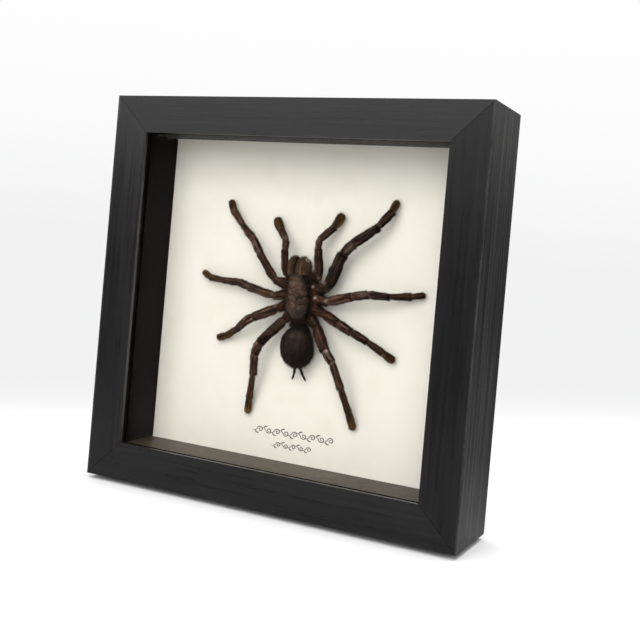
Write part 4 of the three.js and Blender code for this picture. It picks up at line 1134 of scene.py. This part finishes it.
JAWS = {"chelicera_left": 1, "chelicera_right": -1}
for name, inner in JAWS.items():
    shell = Shell()
    rng = np.random.default_rng(SEED + (60 if inner > 0 else 61))
    zs = np.concatenate([np.linspace(112.6, 119.0, 20), 119.0 + 4.6 * np.sin(np.linspace(0.05, 0.99, 24) * np.pi / 2)])
    NJ = 44
    ta = np.arange(NJ) / NJ * 2 * np.pi
    rings, cols, tags, spans = [], [], [], []
    for z in zs:
        e = (z - 112.6) / (124.35 - 112.6)
        droop = 3.0 * smooth(0.45, 1.0, e)
        close = math.sqrt(max(1 - (max(z - 119.0, 0) / 4.65) ** (2.0 if inner > 0 else 2.9), 0.002))
        tall = 3.2 + 1.95 * float(smooth(0.0, 0.25, e)) - 0.7 * e
        hh = tall * (0.26 + 0.74 * close)
        hc = 6.45 - 0.9 * (1 - float(smooth(0.0, 0.25, e))) - 0.45 * float(droop)
        jx, jw = jaw_span(z, inner, hc, tall)
        spans.append((jx, jw))
        cx_, wx = jx, jw * close
        cc, ss = np.cos(ta), np.sin(ta)
        flat = np.where(cc * inner > 0, 0.96, 1.0)
        x = cx_ + wx * np.sign(cc) * np.abs(cc) ** 0.96 * flat
        h = hc + hh * np.sign(ss) * np.abs(ss) ** 0.95
        pts = np.stack([x * 0.8, h * 0.8, np.full(NJ, z * 0.35)], 1)
        bumpy = 0.26 * (lattice(pts, 21) - 0.5) + 0.09 * np.cos(ta * 13 + 2.5 * lattice(np.array([[z * 0.3, 3.0 * inner, 0.0]]), 3)[0])
        x, h = x + bumpy * cc, h + bumpy * ss
        rings.append(np.stack([x, h, np.full(NJ, z)], 1))
        stripe = 0.50 + 0.66 * lattice(np.stack([ta * 4.6, np.full(NJ, z * 0.12), np.full(NJ, 3.0 * inner)], 1), 22) + 0.22 * np.cos(ta * 13)
        stripe = stripe * (0.8 + 0.4 * lattice(np.stack([ta * 2.0, np.full(NJ, z * 0.5), np.full(NJ, 3.0 * inner + 4)], 1), 24))
        # Painted shade: each jaw lighter on top and darker below.
        col = np.array([0.096, 0.058, 0.0365]) * (1.03 if inner < 0 else 0.98) * (stripe * (0.70 + 0.40 * np.clip(ss, -1, 1)))[:, None]
        # Painted shade in the slit between the two jaws.
        slit_shade = (smooth(0.70, 0.92, cc) if inner > 0 else smooth(0.88, 0.98, -cc) * smooth(0.3, -0.2, ss))[:, None]
        col = col * (1 - slit_shade) + RED * 0.22 * slit_shade
        cols.append(col)
        tags.append(np.stack([np.full(NJ, z), ta * 3.2, np.full(NJ, 5.0 + inner)], 1))
    v, f = skin(rings)
    f, vn = facing(v, f)
    c = np.concatenate(cols + [cols[0][:1], cols[-1][:1]])
    w = np.concatenate(tags + [tags[0][:1], tags[-1][:1]])
    c = marks(v, c, [
        # The first six marks darken the slit between the jaws: painted shade.
        (297.0, 258.8, 0.8, RED * 0.25, 0.85),
        (296.7, 261.5, 1.0, RED * 0.2, 0.92),
        (295.9, 264.5, 1.2, RED * 0.2, 0.92),
        (295.2, 267.5, 1.3, RED * 0.25, 0.92),
        (294.6, 270.5, 1.4, RED * 0.3, 0.90),
        (294.0, 273.0, 1.5, RED * 0.35, 0.85),
        (299.3, 268.0, 1.2, np.array([0.105, 0.072, 0.055]), 0.5),
        (290.0, 272.0, 1.6, np.array([0.110, 0.078, 0.070]), 0.5),
        (309.6, 266.5, 2.2, np.array([0.118, 0.080, 0.052]), 0.55),
        (303.8, 270.5, 2.8, np.array([0.030, 0.016, 0.011]), 0.60),
        (299.8, 263.5, 2.2, np.array([0.050, 0.028, 0.017]), 0.50),
        (307.3, 260.9, 3.0, np.array([0.024, 0.015, 0.010]), 0.65),
        (307.3, 260.9, 1.9, np.array([0.200, 0.150, 0.110]), 0.70),
        (307.4, 260.8, 0.9, DARK * 0.4, 0.95),
    ])
    shell.add(v, f, c, w, 0)
    fore = np.array([0.0, -0.15, 1.0])
    upper = smooth(-0.3, 0.4, vn[:, 1]) * 0.9 + 0.1
    bald = smooth(2.6, 3.6, np.hypot(*(on_picture(to_row(v)) - np.array([307.3, 260.9])).T))
    n = 4200
    root, nrm, mixed = sow(rng, v, f, vn, n, upper * bald)
    base = mixed(c)
    k = np.exp(0.32 * rng.normal(size=n))[:, None]
    bristles(shell, rng, root - nrm * 0.05, fore + nrm * (0.25 + 0.25 * rng.random(n))[:, None] + 0.13 * rng.normal(size=(n, 3)), 0.55 + 0.6 * rng.random(n), 0.075, base * k * 1.1, 1, bends=1, dark_root=0.75)
    n = 500
    root, nrm, mixed = sow(rng, v, f, vn, n, upper * bald)
    base = mixed(c)
    bristles(shell, rng, root - nrm * 0.05, fore + nrm * (0.5 + 0.4 * rng.random(n))[:, None] + 0.2 * rng.normal(size=(n, 3)), 0.9 + 0.9 * rng.random(n), 0.08, base * 1.3, 1, droop=np.tile(-up * 0.25, (n, 1)), bends=3)
    if inner < 0:
        # A small round scar near the tip.
        near = np.hypot(*(on_picture(to_row(v)) - np.array([307.3, 260.9])).T) + 40 * (vn[:, 1] < 0.1)
        j = int(near.argmin())
        e3 = unit(vn[j])
        e1 = unit(np.cross(e3, np.array([0.0, 0.0, 1.0])))
        e2 = np.cross(e3, e1)
        t24 = np.arange(28) / 28 * 2 * np.pi
        ring, rv, rf = 0.95, [], []
        for k, q in enumerate(t24):
            o = v[j] + e3 * 0.30 + (e1 * math.cos(q) + e2 * math.sin(q)) * ring
            r_ = e1 * math.cos(q) + e2 * math.sin(q)
            rv += [o + 0.24 * (r_ * math.cos(x) + e3 * math.sin(x)) for x in np.arange(8) / 8 * 2 * np.pi]
            rf += [(k * 8 + m_, k * 8 + (m_ + 1) % 8, ((k + 1) % 28) * 8 + (m_ + 1) % 8) for m_ in range(8)]
            rf += [(k * 8 + m_, ((k + 1) % 28) * 8 + (m_ + 1) % 8, ((k + 1) % 28) * 8 + m_) for m_ in range(8)]
        rv, rf = np.array(rv), np.array(rf)
        rf, _ = facing(rv, rf)
        shell.add(rv, rf, np.tile(np.array([0.330, 0.250, 0.190]), (len(rv), 1)), np.zeros((len(rv), 3)), 0)
        pit_ = [v[j] + e3 * (0.20 + 0.16 * math.cos(x)) + 0.62 * math.sin(x) * (np.outer(np.cos(t24), e1) + np.outer(np.sin(t24), e2)) for x in (0.3, 0.9, 1.5, 2.2)]
        rv, rf = skin(pit_)
        rf, _ = facing(rv, rf)
        shell.add(rv, rf, np.tile(DARK * 0.5, (len(rv), 1)), np.zeros((len(rv), 3)), 0)
    # Rusty hair along the inner edge, over the fang.
    n = 900
    e = rng.random(n)
    z = 114 + 8.6 * e
    spans = np.array(spans)
    root = np.stack([np.interp(z, zs, spans[:, 0] + inner * spans[:, 1] * 0.84) + 0.05 * rng.normal(size=n), 8.6 - 4.2 * smooth(0.5, 1.0, e) - 2.5 * rng.random(n), z], 1)
    aim = np.stack([np.full(n, inner * 0.5), 0.4 * rng.normal(size=n), 0.6 + 0.3 * rng.normal(size=n)], 1)
    bristles(shell, rng, root, aim, 0.5 + 0.5 * rng.random(n), 0.08, RED[None] * np.exp(0.4 * rng.normal(size=n))[:, None], 1, bends=1)
    # The fang, folded under, with its tip just showing from below.
    fang = []
    jx = float(np.interp(120.0, zs, spans[:, 0]))
    for q in np.linspace(0, 1, 14):
        a = -0.2 + 2.2 * q
        cpt = np.array([jx + inner * 0.6, 3.4 - 1.6 * math.sin(a), 123.2 - 5.2 * q - 0.3 * math.cos(a)])
        r = 0.85 * (1 - q) ** 0.7 + 0.05
        fang.append(cpt + np.stack([np.cos(t8) * r, np.sin(t8) * r, np.zeros(20)], 1))
    v, f = skin(fang)
    f, _ = facing(v, f)
    shell.add(v, f, np.tile(np.array([0.010, 0.006, 0.005]), (len(v), 1)), np.zeros((len(v), 3)), 0)
    shell.build(name + "_haired", [body_shell, body_hair], "chelicera", name)

# ---------------------------------------------------------------- spider: abdomen
shell = Shell()
rng = np.random.default_rng(SEED + 70)
AX, AH, AZ, ARX, ARH, ARZ = 3.85, 8.1, 78.7, 8.75, 6.9, 9.7
NA = 72
ta = np.arange(NA) / NA * 2 * np.pi
FRONT_EDGES = np.array([
    (317.0, 297.6, 305.2),
    (321.0, 296.4, 306.2),
    (324.3, 294.4, 307.4),
    (326.4, 291.2, 308.8),
    (330.7, 286.4, 310.6),
    (336.4, 282.9, 312.4),
    (345.0, 279.9, 313.1),
    (352.0, 279.6, 313.2),
]).T
rings, cols, tags = [], [], []
for s in np.concatenate([-np.cos(np.linspace(0.08, np.pi - 0.42, 60)), np.linspace(0.93, 1.42, 12)]):
    if s < 0.92:
        # Blunt at the rear, a little narrower in front.
        fct = (1 - abs(s) ** (2.15 if s < 0 else 1.70)) ** (0.5 if s < 0 else 0.60)
        cx_, ch = AX - 0.35 * s, AH
        fx, fh = ARX * fct * 0.965, ARH * fct * 0.965
    else:
        # It narrows to the waist, which runs in under the carapace.
        g = smooth(0.88, 1.22, s)
        fx, fh = 4.2 - 1.7 * g, 3.4 - 1.9 * g
        cx_, ch = AX - 0.4 - 0.5 * g, AH - 1.6 * g
    # In front its outline is the photo's: the row, the left edge and the right edge.
    at_ = on_picture(to_row(np.array([[0.0, AH, AZ + ARZ * s], [1.0, AH, AZ + ARZ * s]])))
    px = at_[1, 0] - at_[0, 0]
    a, b = (float(np.interp(at_[0, 1], FRONT_EDGES[0], FRONT_EDGES[i])) for i in (1, 2))
    own = float(smooth(0.10, 0.45, s) * (1 - smooth(1.12, 1.30, s)))
    wide = (b - a) / 2 / px - 0.60
    tall = wide * 0.79 if s < 0.92 else wide * (0.79 - 0.10 * float(smooth(0.92, 1.2, s)))
    cx_ = cx_ * (1 - own) + own * ((a + b) / 2 - at_[0, 0]) / px
    fx, fh = fx * (1 - own) + own * wide, fh * (1 - own) + own * tall
    ch = AH - 1.6 * float(smooth(0.88, 1.22, s))
    pts = np.stack([np.cos(ta) * 2.2, np.sin(ta) * 2.2, np.full(NA, s * 2.4)], 1)
    lump = 1 + (0.05 * (lattice(pts, 31) - 0.5) + 0.03 * (lattice(pts * 2.6, 32) - 0.5) + 0.010 * np.cos(ta * 11 + 4 * s)) * (1 if s < 0.98 else 0.3)
    x = cx_ + fx * np.cos(ta) * lump
    h = ch + fh * np.sin(ta) * lump
    z = np.full(NA, AZ + ARZ * s)
    rings.append(np.stack([x, h, z], 1))
    # Painted light: lighter on the upper side towards the front. Painted shade: darker at the front, where it runs in
    # under the carapace.
    tone = 0.62 + 0.75 * np.clip(np.sin(ta - 0.35), 0, 1) * math.exp(-((s - 0.30) / 0.5) ** 2)
    tone = tone * (0.70 + 0.60 * smooth(0.28, 0.72, lattice(np.stack([np.cos(ta) * 8, np.sin(ta) * 8, np.full(NA, s * 1.7)], 1), 33)))
    tone = tone * (1 - 0.45 * float(smooth(0.55, 0.95, s)))
    cols.append(np.array([0.0270, 0.0170, 0.0132])[None] * tone[:, None])
    tags.append(np.stack([np.full(NA, s * ARZ), ta * 7, np.full(NA, 8.0)], 1))
v, f = skin(rings)
f, vn = facing(v, f)
c = np.concatenate(cols + [cols[0][:1], cols[-1][:1]])
w = np.concatenate(tags + [tags[0][:1], tags[-1][:1]])
ABDOMEN_SPOTS = [
    (299.8, 335.5, 3.6, np.array([0.066, 0.043, 0.034]), 0.60),
    (291.0, 336.0, 3.0, np.array([0.052, 0.034, 0.030]), 0.50),
    (285.3, 350.0, 3.2, np.array([0.036, 0.022, 0.020]), 0.50),
    (292.0, 344.0, 4.0, np.array([0.040, 0.028, 0.022]), 0.40),
    (303.0, 345.0, 4.0, np.array([0.026, 0.017, 0.013]), 0.35),
    # The last mark is painted shadow under the rear of the carapace.
    (299.5, 325.0, 5.0, DARK * 0.40, 0.85),
]
c = marks(v, c, ABDOMEN_SPOTS)
shell.add(v, f, c, w, 0)
back = np.array([0.0, 0.0, -1.0])
face_ = smooth(7.9, 6.5, np.abs(v[:, 2] - AZ) * 0.0) * 0 + 1.0
n = 26000
root, nrm, mixed = sow(rng, v, f, vn, n, np.ones(len(v)))
base = mixed(c)
k = np.exp(0.34 * rng.normal(size=n))[:, None]
bristles(shell, rng, root - nrm * 0.06, back * 0.9 + nrm * (0.45 + 0.35 * rng.random(n))[:, None] + 0.15 * rng.normal(size=(n, 3)), 0.55 + 0.65 * rng.random(n), 0.10, base * k * 1.1, 1, bends=1, dark_root=0.6)
n = 4600
tail = smooth(AZ + 2, AZ - 9, v[:, 2]) * 1.2 + 0.35
root, nrm, mixed = sow(rng, v, f, vn, n, tail)
base = mixed(c)
k = np.exp(0.4 * rng.normal(size=n))[:, None]
reach = smooth(AZ, AZ - 10, root[:, 2])
bristles(shell, rng, root - nrm * 0.06, back + nrm * (0.40 + 0.45 * rng.random(n))[:, None] + 0.18 * rng.normal(size=(n, 3)), 0.8 + (0.8 + 0.7 * reach) * rng.random(n), 0.10, base * k * np.array([1.5, 1.35, 1.25]), 1, droop=np.tile(back * 0.2 - up * 0.1, (n, 1)), bends=2)
# The narrow waist with its collar of rusty hair.
n = 2600
a = rng.random(n) * np.pi
far = rng.random(n)
root = np.stack([AX - 0.9 + (3.6 - 1.3 * far) * np.cos(a), AH - 1.4 + (2.9 - 0.9 * far) * np.sin(a), AZ + ARZ * 1.02 + 3.2 * far], 1)
aim = np.stack([np.cos(a) * 0.7, np.sin(a) * 0.9, 0.5 * rng.normal(size=n)], 1) + 0.3 * rng.normal(size=(n, 3))
col = np.array([0.020, 0.010, 0.006])[None] * np.exp(0.7 * rng.normal(size=n))[:, None]
bristles(shell, rng, root, aim, 0.9 + 1.5 * rng.random(n), 0.10, col, 1, bends=2)
for line in (
    [[2.6, 6.6, 71.6], [2.55, 5.9, 69.4], [2.35, 5.2, 67.2], [1.8, 4.5, 64.4], [0.8, 3.8, 61.4]],
    [[4.9, 6.6, 71.6], [5.1, 5.9, 69.4], [5.5, 5.1, 67.2], [6.5, 4.5, 64.6], [8.2, 3.8, 61.6]],
):
    line = np.array(line)
    seg = np.concatenate([[0], np.cumsum(np.linalg.norm(np.diff(line, axis=0), axis=1))])
    ss = np.linspace(0, seg[-1], 34)
    pts = np.stack([np.interp(ss, seg, line[:, k]) for k in range(3)], 1)
    d = unit(np.gradient(pts, axis=0))
    rr = np.interp(ss / seg[-1], [0, 0.3, 0.36, 0.62, 0.66, 0.9, 1.0], [0.78, 0.70, 0.58, 0.60, 0.47, 0.44, 0.16])
    t12 = np.arange(14) / 14 * 2 * np.pi
    rr_ = []
    for q, dd, r in zip(pts, d, rr):
        s1 = unit(np.cross(dd, up))
        s2 = np.cross(dd, s1)
        rr_.append(q + r * (np.outer(np.cos(t12), s1) + np.outer(np.sin(t12), s2)))
    v, f = skin(rr_)
    f, vn = facing(v, f)
    c = np.tile(np.array([0.022, 0.015, 0.012]), (len(v), 1))
    shell.add(v, f, c, np.zeros((len(v), 3)), 0)
    n = 1300
    root, nrm, mixed = sow(rng, v, f, vn, n, np.ones(len(v)))
    near = np.abs(root[:, None, 2] - pts[None, :, 2]).argmin(1)
    bristles(shell, rng, root, d[near] + nrm * 0.5 + 0.15 * rng.normal(size=(n, 3)), 0.35 + 0.35 * rng.random(n), 0.065, np.tile(np.array([0.034, 0.023, 0.016]), (n, 1)) * np.exp(0.3 * rng.normal(size=n))[:, None], 1, bends=1)
shell.build("abdomen_haired", [body_shell, velvet], "abdomen_hair", "abdomen")

# ---------------------------------------------------------------- printed flourish
def ribbon(shell, line, width):
    """A flat stroke on the card, thick and thin like a pen's: line is (x, z) in mm."""
    line = np.asarray(line, float)
    d = unit(np.gradient(line, axis=0))
    nrm = np.stack([-d[:, 1], d[:, 0]], 1)
    v = np.concatenate([line + nrm * width[:, None] / 2, line - nrm * width[:, None] / 2])
    n = len(line)
    f = []
    for i in range(n - 1):
        f += [(i, n + i, n + i + 1), (i, n + i + 1, i + 1)]
    shell.append((v, np.array(f)))


def wave_stroke(points, n=80):
    """A smooth line through the points (Catmull-Rom)."""
    p = np.array(points, float)
    p = np.concatenate([[2 * p[0] - p[1]], p, [2 * p[-1] - p[-2]]])
    out = []
    per = max(6, n // (len(p) - 3))
    for i in range(1, len(p) - 2):
        t = np.linspace(0, 1, per, endpoint=False)[:, None]
        a, b, c_, d = p[i - 1], p[i], p[i + 1], p[i + 2]
        out.append(0.5 * (2 * b + (c_ - a) * t + (2 * a - 5 * b + 4 * c_ - d) * t**2 + (3 * b - a - 3 * c_ + d) * t**3))
    return np.concatenate(out + [p[-2][None]])


def pen(n, thick):
    s = np.linspace(0, 1, n)
    return thick * (0.28 + 0.72 * np.sin(np.pi * s) ** 0.8)


strokes = []


def border(x0, x1, z0, z1, count, size, thick):
    """A running row of scrolls: each line leaves the one before, swings up and rolls in."""
    step = (x1 - x0) / count
    for i in range(count):
        x = x0 + step * i
        z = z0 + (z1 - z0) * (i + 0.5) / count
        hand = 1 if i % 2 == 0 else -1
        a = np.linspace(0.0, 1.0, 64)
        # The lead-in, a flat S, runs into a spiral of a turn and a half.
        turn = math.pi + 2.9 * math.pi * a
        r = size * (0.98 - 0.80 * a**0.9)
        mx, mz = x + step * 0.62, z + hand * 0.05 * size
        spiral = np.stack([mx + r * np.cos(turn), mz - hand * r * np.sin(turn) * 0.9], 1)
        lead = wave_stroke([(x - 0.30 * step, z - hand * 0.55 * size), (x, z - hand * 0.50 * size), tuple(spiral[0])], 20)[:-1]
        line = np.concatenate([lead, spiral])
        ribbon(strokes, line, pen(len(line), thick))
        leaf = wave_stroke([(x + 0.02 * step, z - hand * 0.50 * size), (x + 0.20 * step, z - hand * 1.00 * size), (x + 0.48 * step, z - hand * 1.18 * size)], 18)
        ribbon(strokes, leaf, pen(len(leaf), thick * 1.35))


ca, cb = on_card(255.0, 428.0), on_card(334.0, 442.0)
cc_, cd = on_card(273.5, 444.0), on_card(311.5, 450.5)
border(ca[0], cb[0], ca[1], cb[1], 9, 1.75, 0.50)
border(cc_[0], cd[0], cc_[1], cd[1], 5, 1.45, 0.46)
vs, fs, off = [], [], 0
for v, f in strokes:
    vs.append(np.stack([v[:, 0], np.full(len(v), CARD_Y - 0.03), v[:, 1]], 1))
    fs.append(f + off)
    off += len(v)
v, f = np.concatenate(vs) * MM, np.concatenate(fs)
# A little body under the ink, so that it has no open sheet.
lower = v.copy()
lower[:, 1] = (CARD_Y - 0.002) * MM
me = bpy.data.meshes.new("card_flourish")
me.from_pydata([tuple(x) for x in np.concatenate([v, lower])], [], [tuple(x) for x in f] + [tuple(x[::-1] + len(v)) for x in f])
o = bpy.data.objects.new("card_flourish", me)
bpy.context.scene.collection.objects.link(o)
m, t = net("grey_ink")
at = coords(t)
tone = ramp(t, noise(t, at, 1500.0, 2.0, 0.6), [(0.3, (0.040, 0.036, 0.034)), (0.7, (0.110, 0.100, 0.092))])
surface(t, tone, spread(t, noise(t, at, 900.0, 2.0, 0.6), 0.3, 0.7, 0.6, 0.85), Specular_IOR_Level=0.3)
me.materials.append(m)
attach(o, "root")

# ---------------------------------------------------------------- floor and light
# A white sheet that runs up softly into a pale backdrop. What lights the object from below is
# the part of the sheet near it.
m, t = net("pale_floor")
at = coords(t)
grit = noise(t, at, 60.0, 3.0, 0.6)
behind = put(t, "ShaderNodeVectorMath", {0: at, 1: (-0.834, 0.5515, 0.0)}, operation="DOT_PRODUCT").outputs["Value"]
away = put(t, "ShaderNodeVectorMath", {0: at}, operation="LENGTH").outputs["Value"]
paper = blend(t, calc(t, "MULTIPLY", grit, 0.03), (0.90, 0.90, 0.90), (0.86, 0.86, 0.86))
near = put(t, "ShaderNodeBsdfDiffuse", {"Color": paper})
glow = put(t, "ShaderNodeEmission", {"Color": (0.885, 0.885, 0.893, 1), "Strength": 1.0})
rise = ramp(t, spread(t, behind, 0.13, 0.44, 0.0, 1.0), [(0.0, 0.0), (0.28, 0.55), (0.55, 0.90), (0.85, 1.0)])
ring = ramp(t, spread(t, away, 0.75, 2.2, 0.0, 1.0), [(0.0, 0.0), (0.5, 0.7), (1.0, 1.0)])
shown = put(t, "ShaderNodeMixShader", {0: calc(t, "MAXIMUM", rise, ring), 1: near.outputs[0], 2: glow.outputs[0]})
beside = put(t, "ShaderNodeVectorMath", {0: at, 1: (-0.07, -0.09, 0.0)}, operation="DISTANCE").outputs["Value"]
dim = ramp(t, spread(t, beside, 0.14, 0.38, 0.0, 1.0), [(0.0, 0.62), (0.5, 0.30), (1.0, 0.16)])
unseen = put(t, "ShaderNodeBsdfDiffuse", {"Color": dim})
ray = put(t, "ShaderNodeLightPath").outputs["Is Camera Ray"]
both = put(t, "ShaderNodeMixShader", {0: ray, 1: unseen.outputs[0], 2: shown.outputs[0]})
put(t, "ShaderNodeOutputMaterial", {"Surface": both.outputs[0]})
me = bpy.data.meshes.new("floor")
S = 9.0
me.from_pydata([(-S, -S, -0.0024), (S, -S, -0.0024), (S, S, -0.0024), (-S, S, -0.0024)], [], [(0, 1, 2, 3)])
floor = bpy.data.objects.new("floor", me)
bpy.context.scene.collection.objects.link(floor)
me.materials.append(m)

world = bpy.data.worlds.new("studio")
bpy.context.scene.world = world
world.use_nodes = True
t = world.node_tree
t.nodes.clear()
direction = put(t, "ShaderNodeTexCoord").outputs["Generated"]
xyz = put(t, "ShaderNodeSeparateXYZ", {0: direction})
z = xyz.outputs["Z"]
# What the camera sees: a pale backdrop, brighter towards its top.
seen = ramp(t, spread(t, z, 0.0, 0.30, 0.0, 1.0), [(0.0, (0.885, 0.885, 0.893)), (0.16, (0.925, 0.925, 0.932)), (0.33, (0.960, 0.960, 0.962)), (0.62, (0.985, 0.985, 0.985)), (0.85, (1.0, 1.0, 1.0))])
# What lights the scene: a dim room, darker near the horizon and in front.
height = ramp(t, spread(t, z, -0.2, 1.0, 0.0, 1.0), [(0.0, 0.14), (0.20, 0.14), (0.34, 0.60), (0.48, 1.0), (1.0, 1.0)])
front = spread(t, xyz.outputs["Y"], -0.9, 0.9, 0.45, 1.15)
bg1 = put(t, "ShaderNodeBackground", {"Color": seen, "Strength": 1.0})
bg2 = put(t, "ShaderNodeBackground", {"Color": (1.0, 0.995, 0.985, 1), "Strength": calc(t, "MULTIPLY", calc(t, "MULTIPLY", height, front), 0.85)})
ray = put(t, "ShaderNodeLightPath").outputs["Is Camera Ray"]
mixed_ = put(t, "ShaderNodeMixShader", {0: ray, 1: bg2.outputs[0], 2: bg1.outputs[0]})
put(t, "ShaderNodeOutputWorld", {"Surface": mixed_.outputs[0]})


def softbox(name, place, aim, across, down, radiance, mirrored=True, colour=(1.0, 1.0, 1.0)):
    d = bpy.data.lights.new(name, "AREA")
    d.shape = "RECTANGLE"
    d.size, d.size_y = across, down
    d.energy = radiance * math.pi * across * down
    d.color = colour
    o = bpy.data.objects.new(name, d)
    bpy.context.scene.collection.objects.link(o)
    o.location = place
    o.rotation_euler = (Vector(aim) - Vector(place)).to_track_quat("-Z", "Y").to_euler()
    o.visible_camera = False
    o.visible_glossy = mirrored
    return o


softbox("key_softbox", (0.02, -0.80, 0.54), (0.0, 0.01, 0.10), 0.84, 0.54, 3.95, mirrored=False, colour=(1.0, 0.985, 0.995))
softbox("top_softbox", (0.05, 0.05, 1.15), (0.0, 0.0, 0.0), 1.2, 1.2, 2.3)
softbox("front_fill", (0.12, -0.92, 0.16), (0.0, 0.01, 0.12), 1.4, 0.30, 2.55, mirrored=False, colour=(1.0, 0.985, 0.995))
# A wide pale board that shows only as a sheen in the wood, the glass and the spider's shell.
softbox("sheen_board", (-0.25, -0.80, 0.52), (0.0, 0.01, 0.12), 1.30, 0.56, 4.0).visible_diffuse = False

bpy.context.view_layer.update()
print("TALLY", tally, sum(tally.values()))
